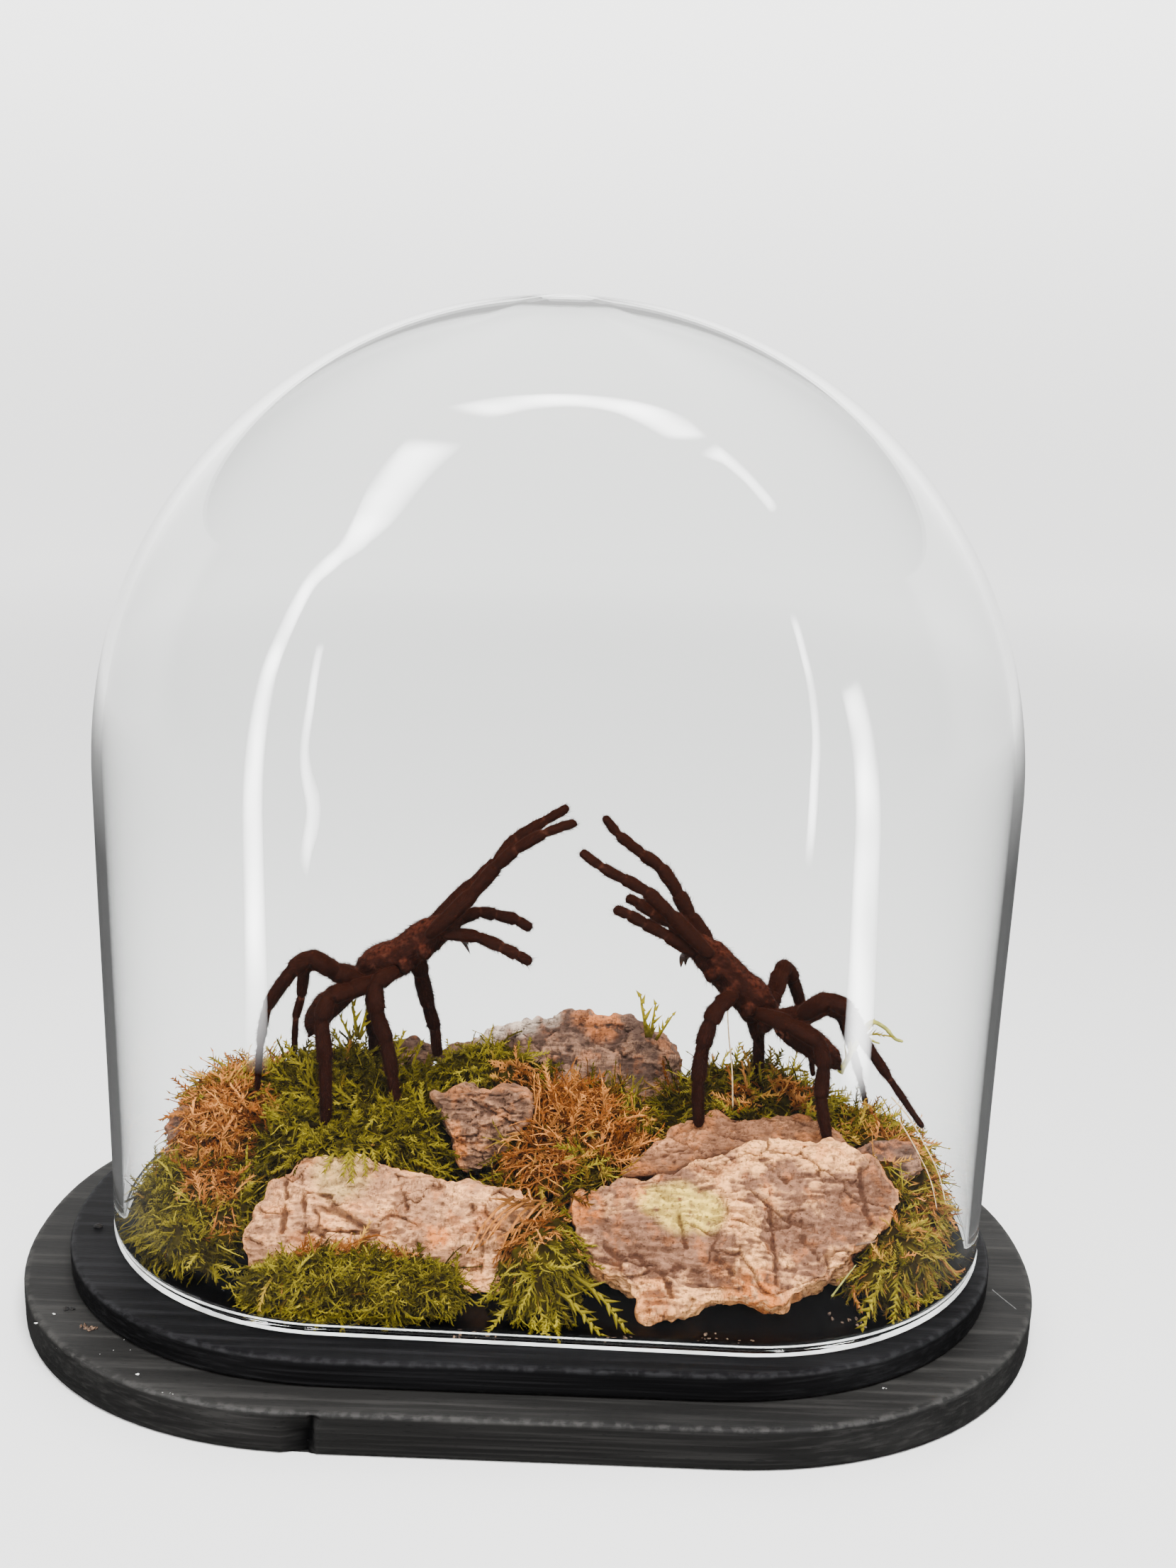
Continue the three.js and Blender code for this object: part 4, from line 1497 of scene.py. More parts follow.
@dataclass
class Spider:
    """A dried spider reared up on its back legs."""

    name: str
    fore_body: tuple[Point, ...]
    abdomen: tuple[Point, ...]
    limbs: tuple[Limb, ...]
    fangs: tuple[tuple[Point, Point, Point], ...]
    seed: int
    hair: Hair
    hair_length: float = 1.5
    voxel: float = 0.5
    fang_radii: tuple[float, ...] = (1.4, 1.35, 1.25, 1.1, 0.9, 0.7, 0.45, 0.15)

    def bulk(self, part: str, line: Sequence[Point], lumps: Sequence[Lump]) -> None:
        """Makes one part of the body: a copy of its CAD solid grown together with its lumps, and its hair.

        Args:
            part: The part's name.
            line: The body's line, from its waist outwards, in millimetres.
            lumps: The lumps along it.
        """
        node = f"{self.name}_{part}"
        bm = welded(node)
        knots = [Vector(point) for point in line]
        steps = np.cumsum([0] + [(b - a).length for a, b in zip(knots, knots[1:])])

        def along(share: float) -> np.ndarray:
            """The point at a share of the line's length."""
            return np.array([np.interp(share * steps[-1], steps, [k[i] for k in knots]) for i in range(3)])

        for lump in lumps:
            ahead = Vector(along(lump.share + 0.1) - along(lump.share - 0.1)).normalized()
            above = ACROSS.cross(ahead) * (1 if ACROSS.cross(ahead).z > 0 else -1)
            centre = Vector(along(lump.share)) + ACROSS * lump.side + above * lump.up
            turn = Matrix((ahead, ACROSS, above)).transposed().to_4x4()
            size = Matrix.Diagonal((*lump.radii, 1))
            place = Matrix.Scale(MM, 4) @ Matrix.Translation(centre) @ turn @ size
            bmesh.ops.create_icosphere(bm, subdivisions=3, radius=1.0, matrix=place)
        skin = new_piece(f"{node}_skin", bm)
        remesh(skin, self.voxel)
        soften(skin, 6)
        for vertex in skin.data.vertices:
            spot = vertex.co / MM
            wrinkle = 0.3 * noise.noise(spot / 2.2) + 0.15 * noise.noise(spot / 0.9)
            vertex.co += vertex.normal * wrinkle * MM
        waist = Vector(line[0]) * MM
        bare = []
        for vertex in skin.data.vertices:
            patchy = 0.3 * smooth(0.25, 0.65, noise.noise(vertex.co / MM / 3))
            bare.append(max(smooth(7, 2.5, (vertex.co - waist).length / MM), patchy))
        put_attribute(skin, "bare", bare)
        # Painted sheen: the upward faces take the lighter tip colour.
        put_attribute(skin, "tip", [0.8 * smooth(0.2, 0.9, vertex.normal.z) for vertex in skin.data.vertices])
        first, last = (knots[-1], knots[0]) if part == "fore_body" else (knots[0], knots[-1])
        back = unit(np.array(last - first))

        def flow(points: np.ndarray) -> np.ndarray:
            """The hair lies towards the spider's rear end everywhere."""
            return np.tile(back, (len(points), 1))

        hair = Coat(length=self.hair_length).grow(skin, f"{node}_hair", flow, self.seed)
        material = self.hair.material()
        for piece in (skin, hair):
            finish(piece, material, "spider_hair", [node])

    def build_fangs(self) -> None:
        """Makes the two curved black fangs, in one piece."""
        joined = bmesh.new()
        for points in self.fangs:
            base, middle, tip = [Vector(point) * MM for point in points]
            line = interpolate_bezier(base, middle, middle, tip, len(self.fang_radii))
            fang = tube(line, [MM * radius for radius in self.fang_radii], 8)
            mesh = bpy.data.meshes.new("fang")
            fang.to_mesh(mesh)
            fang.free()
            joined.from_mesh(mesh)
            bpy.data.meshes.remove(mesh)
        piece = new_piece(f"{self.name}_fangs", joined)
        horn = Plain("fang_horn", (0.012, 0.007, 0.006), (0.03, 0.012, 0.009), roughness=0.25)
        finish(piece, horn.material(), "spider_hair")

    def build(self) -> None:
        """Makes the whole spider."""
        self.bulk("fore_body", self.fore_body, BODY_LUMPS)
        self.bulk("abdomen", self.abdomen, ABDOMEN_LUMPS)
        self.build_fangs()
        for i, limb in enumerate(self.limbs):
            limb.build(self.name, self.hair, Coat(), self.seed + i + 1)


# ---- straws and crumbs ----


@dataclass
class Straw:
    """A thin dry stalk, a little bent and with a swelling at its joints.

    thick and thin are its radii at both ends, and nodes the CAD nodes that it stands for.
    """

    name: str
    points: tuple[Point, ...]
    thick: float
    thin: float
    nodes: tuple[str, ...] = ()
    finish: Plain = Plain("straw", (0.42, 0.27, 0.12), (0.6, 0.45, 0.25))
    curl: float = 0.33
    steps: int = 9
    swelling: float = 1.25
    sides: int = 7

    def build(self) -> None:
        """Makes the stalk."""
        knots = [Vector(point) * MM for point in self.points]
        ways = [(b - a).normalized() for a, b in zip([knots[0], *knots], [*knots[1:], knots[-1]])]
        reaches = [(b - a).length * self.curl for a, b in zip(knots, knots[1:])]
        handles = [(a * reach, b * reach) for a, b, reach in zip(ways, ways[1:], reaches)]
        line = bent_line(knots, handles, self.steps)
        radii = []
        for i in range(len(line)):
            share = i / (len(line) - 1)
            swell = self.swelling if i % self.steps == 0 else 1.0
            radii.append((self.thick + (self.thin - self.thick) * share) * swell * MM)
        piece = new_piece(self.name, tube(line, radii, self.sides))
        finish(piece, self.finish.material(), "straw", self.nodes)


@dataclass
class Spray:
    """Single fronds that reach out of the cushions, each from its root to its tip."""

    name: str
    spans: tuple[tuple[Point, Point], ...]
    growth: Growth
    seed: int
    tint: float = 0.0
    light: float = 0.7
    bend: float = 0.5
    slot: str = "green_moss"

    def build(self) -> None:
        """Makes all the fronds in one piece."""
        rng = np.random.default_rng(self.seed)
        roots = np.array([span[0] for span in self.spans]) * MM
        reach = np.array([span[1] for span in self.spans]) * MM - roots
        length = np.linalg.norm(reach, axis=1)
        straight = unit(reach)
        above = np.array([0.0, 0.05, 1.0]) - straight * straight[:, 2:3]
        above = unit(np.where(np.abs(straight[:, 2:3]) > 0.9, np.array([0.6, -0.8, 0.0]), above))
        ahead = unit(straight * math.cos(self.bend / 2) + above * math.sin(self.bend / 2))
        sprig = self.growth.sprig(rng)
        bend = np.full(len(roots), self.bend)
        piece = sprig.plant(self.name, roots, ahead, above, length, length, bend)
        put_attribute(piece, "tint", self.tint)
        put_attribute(piece, "light", self.light)
        finish(piece, Moss(self.slot).material(), self.slot)


@dataclass
class Crumbs:
    """Loose crumbs that lie on a surface. The strength of each spot is the size of its crumbs."""

    name: str
    spots: tuple[Patch, ...]
    count: int
    size: float
    floor: float
    finish: Plain
    slot: str
    seed: int

    def build(self) -> None:
        """Makes all the crumbs in one piece."""
        rng = np.random.default_rng(self.seed)
        bm = bmesh.new()
        for i in range(self.count):
            spot = self.spots[i % len(self.spots)]
            x, y = rng.normal(0, spot.radius / 2, 2)
            size = self.size * rng.uniform(0.4, 1.4) * spot.strength
            turn = Matrix.Rotation(rng.uniform(0, 6.3), 4, "Z")
            turn = turn @ Matrix.Rotation(rng.uniform(-0.5, 0.5), 4, "X")
            shape = Matrix.Diagonal((size, size * rng.uniform(0.4, 0.9), size * rng.uniform(0.3, 0.6), 1))
            centre = Vector((spot.at[0] + x, spot.at[1] + 0.4 * y, self.floor + 0.25 * size))
            place = Matrix.Scale(MM, 4) @ Matrix.Translation(centre) @ turn @ shape
            bmesh.ops.create_icosphere(bm, subdivisions=1, radius=1.0, matrix=place)
        for vert in bm.verts:
            vert.co += Vector(rng.normal(0, 0.12 * self.size * MM, 3))
            vert.co.z = max(vert.co.z, self.floor * MM)
        finish(new_piece(self.name, bm), self.finish.material(), self.slot)


# ---- the studio ----


@dataclass(frozen=True)
class Card:
    """A bright bent card that only the gloss of the glass and the wood shows."""

    name: str
    points: tuple[Point, ...]
    first: float
    last: float
    strength: float = 120.0
    sides: int = 24
    steps: int = 8
    looks_at: Point = (0, 0, 150)

    def shape(self) -> Object:
        """The card: a tapering rod that glows on the side towards the object, and fades at its ends."""
        knots = [Vector(point) * MM for point in self.points]
        before, after = [knots[0], *knots[:-2]], [*knots[2:], knots[-1]]
        leaving = [(b - a) / 6 for a, b in zip(before, knots[1:])]
        arriving = [(b - a) / 6 for a, b in zip(knots, after)]
        line = bent_line(knots, list(zip(leaving, arriving)), self.steps)
        end = len(line) - 1
        radii = [(self.first + (self.last - self.first) * i / end) * MM for i in range(len(line))]
        card = new_piece(self.name, tube(line, radii, self.sides))
        glow = []
        for i, vertex in enumerate(card.data.vertices):
            inward = (Vector(self.looks_at) * MM - vertex.co).normalized()
            patchy = 0.75 + 0.5 * noise.noise(vertex.co / MM / 30)
            share = i // self.sides / end
            fade = smooth(0, 0.16, share) * smooth(1, 0.9, share)
            glow.append(fade * patchy * max(0.0, vertex.normal.dot(inward)) ** 2)
        put_attribute(card, "glow", glow)
        return card

    def build(self) -> None:
        """Makes the card and hangs it."""
        card = self.shape()
        shader = Shader(self.name)
        color = shader.mix(shader.attribute("glow"), (0.0, 0.0, 0.0), (1.0, 1.0, 1.0))
        card.data.materials.append(
            shader.surface(
                Base_Color=(0.0, 0.0, 0.0),
                Specular_IOR_Level=0.0,
                Emission_Color=color,
                Emission_Strength=self.strength,
            )
        )
        card.visible_camera = card.visible_diffuse = card.visible_transmission = card.visible_shadow = False


@dataclass(frozen=True)
class SoftLight:
    """A square lamp that looks at the display and shows in nothing. Its size is in metres."""

    name: str
    at: Point
    size: float
    power: float
    looks_at: Point = (0, 0, 60)

    def build(self) -> None:
        """Hangs the lamp."""
        light = bpy.data.lights.new(self.name, "AREA")
        light.size = self.size
        light.energy = self.power
        lamp = put_in_scene(self.name, light)
        lamp.location = Vector(self.at) * MM
        way = Vector(self.looks_at) * MM - lamp.location
        lamp.rotation_euler = way.to_track_quat("-Z", "Y").to_euler()
        lamp.visible_glossy = lamp.visible_camera = lamp.visible_transmission = False


LIGHTS = (
    SoftLight("key", (150, -450, 1200), 0.6, 46.0),
    SoftLight("fill", (-900, -500, 700), 0.9, 7.5),
    SoftLight("back", (0, 900, 900), 0.9, 5.0),
)
CARDS = (
    Card(
        "card_left",
        (
            (-193, -222, 8), (-205, -243, 60), (-211, -253, 129), (-207, -257, 167), (-190, -265, 217),
            (-150, -262, 293), (-98, -255, 335), (-67, -192, 410), (-54, -160, 434),
        ),
        22, 11,
    ),
    Card(
        "card_top",
        ((-44, -127, 452), (-24, -109, 460), (0, -103, 463), (23, -116, 458), (44, -154, 439)),
        12, 11,
    ),
    Card("card_top_right", ((50, -162, 433), (86, -177, 415), (125, -195, 385)), 13, 12, 80.0),
    Card(
        "card_right",
        (
            (222, -202, 13), (230, -210, 42), (235, -219, 72), (235, -227, 104), (232, -234, 145),
            (226, -239, 175), (212, -246, 207),
        ),
        26, 21,
    ),
    Card(
        "card_thin_right",
        ((151, -289, 99), (155, -291, 136), (159, -289, 163), (149, -288, 211), (129, -275, 279)),
        9, 8, 80.0,
    ),
    Card(
        "card_thin_left",
        ((-134, -295, 89), (-122, -304, 112), (-134, -301, 137), (-128, -304, 164), (-118, -296, 215)),
        8, 7, 70.0,
    ),
)


@dataclass
class Studio:
    """The camera and the pale floor, with the lights and the cards that the glass mirrors.

    For mirrored rays, the floor is mirrored_color near the display and in front of it.
    """

    camera_at: Point = (18.68, -439.68, 278.24)
    aim: Point = (13.9, 0.0, 167.7)
    roll_deg: float = 1.8
    lens: float = 34.07
    floor_radius: float = 4500.0
    floor_bend: float = 2200.0
    floor_color: Color = (0.8, 0.8, 0.795)
    mirrored_color: Color = (0.04, 0.04, 0.04)
    glow_color: Color = (1.0, 1.0, 0.99)
    backdrop_glow: float = 3.3
    world: float = 0.85
    world_color: Color = (1.0, 0.995, 0.985)
    bend_steps: int = 24
    around_steps: int = 96

    def build_camera(self) -> None:
        """Sets up the camera."""
        camera = put_in_scene("camera", bpy.data.cameras.new("camera"))
        start, aim = Vector(self.camera_at) * MM, Vector(self.aim) * MM
        look = (aim - start).to_track_quat("-Z", "Y").to_matrix().to_4x4()
        roll = Matrix.Rotation(math.radians(self.roll_deg), 4, "Z")
        camera.matrix_world = Matrix.Translation(start) @ look @ roll
        camera.data.lens = self.lens
        camera.data.clip_start = 0.02
        bpy.context.scene.camera = camera

    def build_floor(self) -> None:
        """Lays a pale floor that curves up far behind the object on all sides."""
        bend, flat = self.floor_bend, self.floor_radius - self.floor_bend
        turn = [0.5 * math.pi * i / self.bend_steps for i in range(self.bend_steps + 1)]
        profile = [(flat * share, 0.0) for share in (0.03, 0.12, 0.25, 0.4, 0.55, 0.7, 0.85, 1.0)]
        profile += [(flat + bend * math.sin(t), bend * (1 - math.cos(t))) for t in turn[1:]]
        around = [2 * math.pi * i / self.around_steps for i in range(self.around_steps)]
        rings = [[Vector((r * math.cos(a), r * math.sin(a), z)) * MM for a in around] for r, z in profile]
        bm = loft(rings, pole=False)
        top = max(bm.faces, key=lambda face: face.calc_center_median().z)
        bmesh.ops.delete(bm, geom=[top], context="FACES_ONLY")
        floor = new_piece("floor", bm)
        glow, near = [], []
        for vertex in floor.data.vertices:
            reach = math.hypot(vertex.co.x, vertex.co.y) / MM
            far = smooth(0.15 * flat, flat, reach)
            in_front = smooth(-0.05 * flat, -0.3 * flat, vertex.co.y / MM)
            near.append(max(smooth(0.85 * flat, 0.25 * flat, reach), in_front))
            glow.append(0.48 * far + 0.52 * smooth(0, 0.8 * bend, vertex.co.z / MM))
        put_attribute(floor, "glow", glow)
        put_attribute(floor, "near", near)
        shader = Shader("floor")
        mirrored = Value(shader, shader.node("ShaderNodeLightPath").outputs["Glossy Depth"]).step(0.0, 1.0)
        near = shader.attribute("near") * mirrored
        glow = shader.mix(shader.attribute("glow") * (1 - near), (0.0, 0.0, 0.0), self.glow_color)
        floor.data.materials.append(
            shader.surface(
                Base_Color=shader.mix(near, self.floor_color, self.mirrored_color),
                Roughness=0.8,
                Specular_IOR_Level=0.1,
                Emission_Color=glow,
                Emission_Strength=self.backdrop_glow,
            )
        )
        floor.visible_diffuse = False

    def build_world(self) -> None:
        """Sets the soft light from all sides."""
        world = bpy.data.worlds.new("world")
        world.use_nodes = True
        background = world.node_tree.nodes["Background"]
        background.inputs["Color"].default_value = (*self.world_color, 1.0)
        background.inputs["Strength"].default_value = self.world
        bpy.context.scene.world = world

    def build(self) -> None:
        """Makes all of it."""
        self.build_camera()
        self.build_floor()
        self.build_world()
        for part in (*LIGHTS, *CARDS):
            part.build()


# ---- the display ----

PALE_BARK = Bark(
    "pale_bark", "pale_bark", face=(0.94, 0.44, 0.165), grey=(0.25, 0.12, 0.068),
    deep=(0.045, 0.016, 0.008), warm=(0.58, 0.17, 0.035), lichen=(0.85, 0.58, 0.11),
)
# A lighter copy of the pale bark for the front-left slab: painted light.
LIT_PALE_BARK = Bark(
    "lit_pale_bark", "pale_bark", face=(0.98, 0.46, 0.185), grey=(0.42, 0.2, 0.1),
    deep=(0.05, 0.018, 0.009), warm=(0.66, 0.2, 0.045), lichen=(0.72, 0.52, 0.17),
)
# A darker copy of the pale bark for the middle slab: partly its own tan and partly painted shade.
SHADED_TAN_BARK = Bark(
    "shaded_tan_bark", "pale_bark", face=(0.64, 0.275, 0.12), grey=(0.24, 0.105, 0.052),
    deep=(0.03, 0.011, 0.006), warm=(0.52, 0.16, 0.035), lichen=(0.5, 0.4, 0.15),
)
CHUNK_BARK = Bark(
    "chunk_bark", "dark_bark", face=(0.4, 0.195, 0.1), grey=(0.13, 0.066, 0.04),
    deep=(0.018, 0.007, 0.004), warm=(0.52, 0.16, 0.035), lichen=(0.4, 0.32, 0.15),
)
DARK_BARK = Bark(
    "dark_bark", "dark_bark", face=(0.33, 0.17, 0.1), grey=(0.11, 0.062, 0.044),
    deep=(0.02, 0.01, 0.007), warm=(0.5, 0.16, 0.05), lichen=(0.6, 0.46, 0.36),
)
LOWER_WOOD = StainedWood(
    "black_stained_wood_lower", (0.0075, 0.0073, 0.007), (0.03, 0.029, 0.0272), roughness=0.6, shine=0.12
)
UPPER_WOOD = StainedWood(
    "black_stained_wood_upper", (0.0034, 0.0034, 0.0037), (0.0135, 0.0135, 0.0144), roughness=0.5, shine=0.035
)
BLACK_HAIR = Hair("spider_hair", base=(0.012, 0.0026, 0.001), tip=(0.062, 0.0145, 0.0068))

SLABS = (
    Slab(
        "bark_front_right", PALE_BARK, voxel=0.55, plate=(21, 15), seed=1.3, lump=2.2,
        grooves=1.6, rim=0.35,
        warm=patches(
            (17, -31, 43, 8, 0.9), (35, -28, 46, 5, 0.6), (69, -51, 27, 10),
            (39, -53, 26, 8, 0.5), (63, -50, 28, 6, 0.6),
        ),
        lichen=patches((46, -31, 44, 10), (54, -32, 43, 8), (39, -30, 45, 7, 0.8)),
        # Painted shade in the dips of the folds.
        painted_shade=patches(
            (29, -38, 38, 9, 0.9), (40, -39, 37, 11, 1.0), (52, -40, 36, 8, 0.8),
            (84, -36, 39, 10, 0.8), (95, -34, 41, 8, 0.6), (104, -29, 45, 6, 0.9),
            (74, -37, 39, 4, 0.7), (108, -24, 49, 7, 0.6),
        ),
        # Painted highlights on the bulges of the folds.
        pale=patches(
            (62, -26, 48, 8, 0.6), (65, -34, 41, 8, 0.6), (67, -41, 36, 8, 0.5),
            (55, -20, 51, 9, 0.6), (71, -15, 56, 11, 0.7), (88, -14, 57, 11, 0.7),
            (98, -17, 55, 7, 0.5), (91, -22, 51, 9, 0.35),
        ),
        folds=patches(
            (62, -26, 48, 11, 1.3), (65, -34, 41, 11, 1.7), (67, -43, 35, 11, 1.6),
            (42, -33, 42, 12, 1.1), (40, -45, 32, 12, -1.5), (30, -43, 34, 9, -1.1),
            (77, -37, 39, 8, -1.7), (76, -47, 31, 8, -1.3), (90, -27, 47, 13, 1.4),
            (103, -26, 47, 8, -1.8), (86, -40, 36, 10, -0.8), (71, -16, 55, 10, 1.0),
            (52, -47, 31, 8, -1.6), (39, -52, 27, 8, 0.9),
        ),
        cracks=(
            (
                (24, -41, 36), (28, -43, 34), (34, -42, 35), (37, -45, 32), (42, -46, 31), (46, -44, 33),
                (53, -45, 32),
            ),
            ((46, -33, 42), (48, -40, 37)), ((41, -46, 31), (44, -52, 26)),
            ((74, -31, 44), (75, -40, 37), (75, -48, 30)), ((83, -33, 42), (84, -38, 38), (88, -41, 35)),
            ((75, -21, 52), (79, -24, 50)), ((102, -20, 52), (103, -29, 45), (105, -34, 40)),
            ((57, -42, 34), (62, -46, 31)),
        ),
        crack_width=0.75,
    ),
    Slab(
        "bark_front_left", LIT_PALE_BARK, voxel=0.55, plate=(22, 12), seed=4.1, crack_depth=1.5,
        warm=patches((-27, -38, 35, 5), (-12, -36, 40, 7, 0.4)),
        lichen=patches((-58, -24, 48, 12, 0.45)),
        cracks=(
            ((-75, -27, 45), (-74, -37, 34)), ((-69, -30, 43), (-67, -37, 34)),
            ((-69, -29, 43), (-61, -30, 43)), ((-67, -37, 35), (-50, -37, 35)),
            ((-17, -32, 42), (-13, -40, 33), (-13, -46, 27)), ((-41, -25, 48), (-37, -32, 41)),
        ),
    ),
    Slab(
        "bark_middle_right", SHADED_TAN_BARK, voxel=0.65, plate=(24, 16), seed=7.7, crack_depth=0.9,
        warm=patches((35, -20, 50, 7, 0.5), (50, -2, 54, 8, 0.35)),
        cracks=(((45, -12, 52), (45, -16, 51)), ((60, -2, 54), (72, -6, 55)), ((36, -14, 51), (50, -9, 53))),
        leans_on="bark_front_right",
    ),
    Slab(
        "bark_upright_chunk", CHUNK_BARK, voxel=0.55, plate=(9, 4), seed=2.9, grooves=1.5,
        warm=patches((-25, -5, 51, 4), (-24, -5, 46, 4)),
    ),
    Slab(
        "bark_back", DARK_BARK, voxel=0.7, plate=(9, 7), seed=5.3, warm_edges=0.0,
        warm=patches((21, 52, 68, 9), (13, 53, 69, 4, 0.6)),
        lichen=patches((-7, 52, 68, 8), (-19, 50, 66, 9), (3, 53, 69, 5, 0.8)),
    ),
    Slab("bark_right_chip", DARK_BARK, seed=8.2, warm=patches((110, -10, 50, 8, 0.7))),
    Slab("bark_left_chip", DARK_BARK, seed=9.4),
    Slab("bark_back_left_chip", DARK_BARK, seed=3.6),
)

RUST = patches(
    (-103, 2, 52, 24), (-98, -24, 48, 15), (-90, -38, 38, 9, 0.8), (-66, -46, 38, 9),
    (-52, -46, 39, 9), (-37, -46, 39, 9, 0.9), (10, 5, 60, 27), (27, -6, 55, 16),
    (2, -14, 52, 17), (-3, -38, 43, 20, 0.9), (-5, 23, 60, 13), (68, 16, 60, 9, 0.8),
    (86, 22, 60, 11, 0.9), (118, 0, 54, 17, 0.8), (126, -14, 42, 14, 0.55),
)

SHORT = ((FEATHER, 0.25), (SHOOT, 1.8), (STRAND, 0.6))
LOW = ((FEATHER, 0.25), (SHOOT, 0.95), (STRAND, 0.6))
TANGLED = ((FEATHER, 0.5), (SHOOT, 0.4), (STRAND, 3.2))
FEATHERY = ((FEATHER, 1.1), (SHOOT, 0.45), (STRAND, 0.4))
THIN = ((FEATHER, 0.45), (SHOOT, 0.3), (STRAND, 0.4))

CUSHIONS = (
    Cushion("moss_front_left", 11, SHORT, lift=0.5, light=0.43, hang=0.9),
    Cushion(
        "moss_front_middle", 12, FEATHERY,
        scale=0.85, light=0.68, lift=0.2, hang=2.4, sink=3.2,
    ),
    Cushion(
        "moss_front_right", 13, FEATHERY,
        scale=0.75, light=0.72, tint=0.36, hang=1.6, sink=3.6,
    ),
    Cushion("moss_left_end", 14, LOW, scale=0.9, lift=0.45, light=0.55, hang=0.9, sink=3.0),
    Cushion("moss_back_left", 15, FEATHERY, light=0.45, lift=0.6),
    Cushion("moss_middle", 16, TANGLED, "rust_moss", light=0.5, tint=0.4, lift=0.6),
    Cushion("moss_left_shoulder", 17, TANGLED, "rust_moss", light=0.6, tint=0.55),
    Cushion("moss_back_right", 18, THIN, light=0.5, lift=0.7, tint=0.2),
    Cushion("moss_right_end", 19, TANGLED, "rust_moss", scale=0.9, light=0.68, tint=0.36, sink=2.4),
    Cushion("moss_back_middle", 20, FEATHERY, scale=0.75, light=0.65, lift=0.4),
    Cushion("moss_back_slope", 21, THIN, light=0.45),
)

LEFT_SPIDER = Spider(
    "left_spider",
    fore_body=((-60, 12, 96), (-54, 12, 101), (-46, 12, 105), (-37, 12, 112), (-29, 12, 118)),
    abdomen=((-59, 12, 95), (-65, 12, 91), (-71, 12, 85), (-75, 12, 78)),
    limbs=(
        Limb("near_leg_1", Form.RAISED, (
            (-36, 7, 114), (-21, 6, 130), (-14, 5, 139), (-8, 4, 145), (1, 3, 151), (11, 3, 155))),
        Limb("far_leg_1", Form.RAISED, (
            (-36, 17, 115), (-22, 18, 129), (-15, 19, 136), (-9, 20, 144), (0, 20, 150), (8, 21, 155))),
        Limb("near_palp", Form.PALP, (
            (-31, 8, 115), (-20, 8, 114.5), (-12, 6, 112), (-7, 5, 110), (-2, 5, 107.5))),
        Limb("far_palp", Form.PALP, (
            (-31, 16, 115), (-20, 16, 120), (-15, 17, 119), (-8, 18, 117), (-3, 18, 114))),
        Limb("near_leg_2", Form.STANDING, (
            (-45, 6, 103), (-51, 1, 100), (-51, 0, 91), (-48, 0, 81), (-46, 0, 69), (-45, 0, 60))),
        Limb("near_leg_3", Form.STANDING, (
            (-50, 6, 100), (-59, 0, 98), (-65, -4, 97), (-67, -7, 91), (-66, -8, 77), (-66, -8, 55))),
        Limb("near_leg_4", Form.ARCHED, (
            (-55, 8, 97), (-65, 3, 103), (-72, -2, 109), (-77, -2, 105), (-86, 0, 91), (-89, 2, 78),
            (-91, 4, 60))),
        Limb("far_leg_2", Form.STANDING, (
            (-41, 18, 106), (-40, 24, 95), (-38, 28, 82), (-36, 30, 73), (-35, 31, 62))),
        Limb("far_leg_3", Form.STANDING, (
            (-46, 18, 102), (-54, 24, 93), (-57, 28, 81), (-57, 30, 70), (-56, 30, 59))),
        Limb("far_leg_4", Form.ARCHED, (
            (-55, 17, 95), (-67, 23, 95), (-76, 29, 96), (-80, 31, 93), (-82, 32, 82), (-84, 32, 74),
            (-85, 32, 58))),
    ),
    fangs=(
        ((-28.5, 10, 114), (-25, 10, 113.5), (-22.2, 10, 107.6)),
        ((-28.5, 14, 114), (-25, 14, 113.5), (-23, 14, 108.8)),
    ),
    seed=100,
    hair=BLACK_HAIR,
)

RIGHT_SPIDER = Spider(
    "right_spider",
    fore_body=((78, 12, 87), (73, 12, 92), (67, 12, 97), (60, 12, 104), (54, 12, 110), (48, 12, 115)),
    abdomen=((78, 12, 86), (84, 12, 83), (91, 12, 79), (99, 12, 73)),
    limbs=(
        Limb("near_leg_1", Form.RAISED, (
            (55, 7, 111), (41, 6, 125), (33, 4, 133), (26, 3, 137), (19, 2, 141), (12, 2, 146))),
        Limb("far_leg_1", Form.RAISED, (
            (55, 17, 112), (48, 17, 121), (44, 18, 128), (38, 20, 136), (32, 21, 140), (24, 22, 146),
            (19, 22, 152))),
        Limb("near_palp", Form.PALP, (
            (50, 8, 111), (40, 6, 118), (33, 5, 122), (28, 4, 125), (23, 4, 127))),
        Limb("far_palp", Form.PALP, (
            (50, 16, 112), (42, 17, 118), (36, 18, 121), (31, 19, 124), (27, 19, 126))),
        Limb("near_leg_2", Form.STANDING, (
            (63, 6, 99), (58, 1, 97), (55, -1, 92), (53, -2, 84), (52, -2, 72), (53, -2, 56))),
        Limb("near_leg_3", Form.STANDING, (
            (70, 6, 93), (80, -1, 92), (89, -5, 88), (91, -6, 80), (91, -6, 70), (94, -6, 55))),
        Limb("near_leg_4", Form.ARCHED, (
            (74, 8, 90), (84, 3, 94), (92, -2, 101), (98, -2, 98), (103, 0, 89), (114, 3, 73),
            (127, 5, 55))),
        Limb("far_leg_2", Form.STANDING, ((65, 18, 93), (71, 25, 83), (74, 29, 74), (75, 30, 60))),
        Limb("far_leg_3", Form.ARCHED, (
            (73, 17, 88), (78, 24, 92), (80, 28, 98), (82, 31, 99), (85, 33, 94), (89, 36, 83),
            (93, 37, 69), (95, 37, 57))),
        Limb("far_leg_4", Form.ARCHED, (
            (77, 17, 86), (88, 22, 85), (96, 29, 86), (102, 33, 82), (107, 35, 70), (111, 35, 58),
            (114, 35, 48))),
    ),
    fangs=(
        ((47.5, 10, 111), (45.5, 10, 109), (45.5, 10, 105.5)),
        ((49, 14, 110), (47, 14, 108), (47.2, 14, 104.6)),
    ),
    seed=200,
    hair=BLACK_HAIR,
)

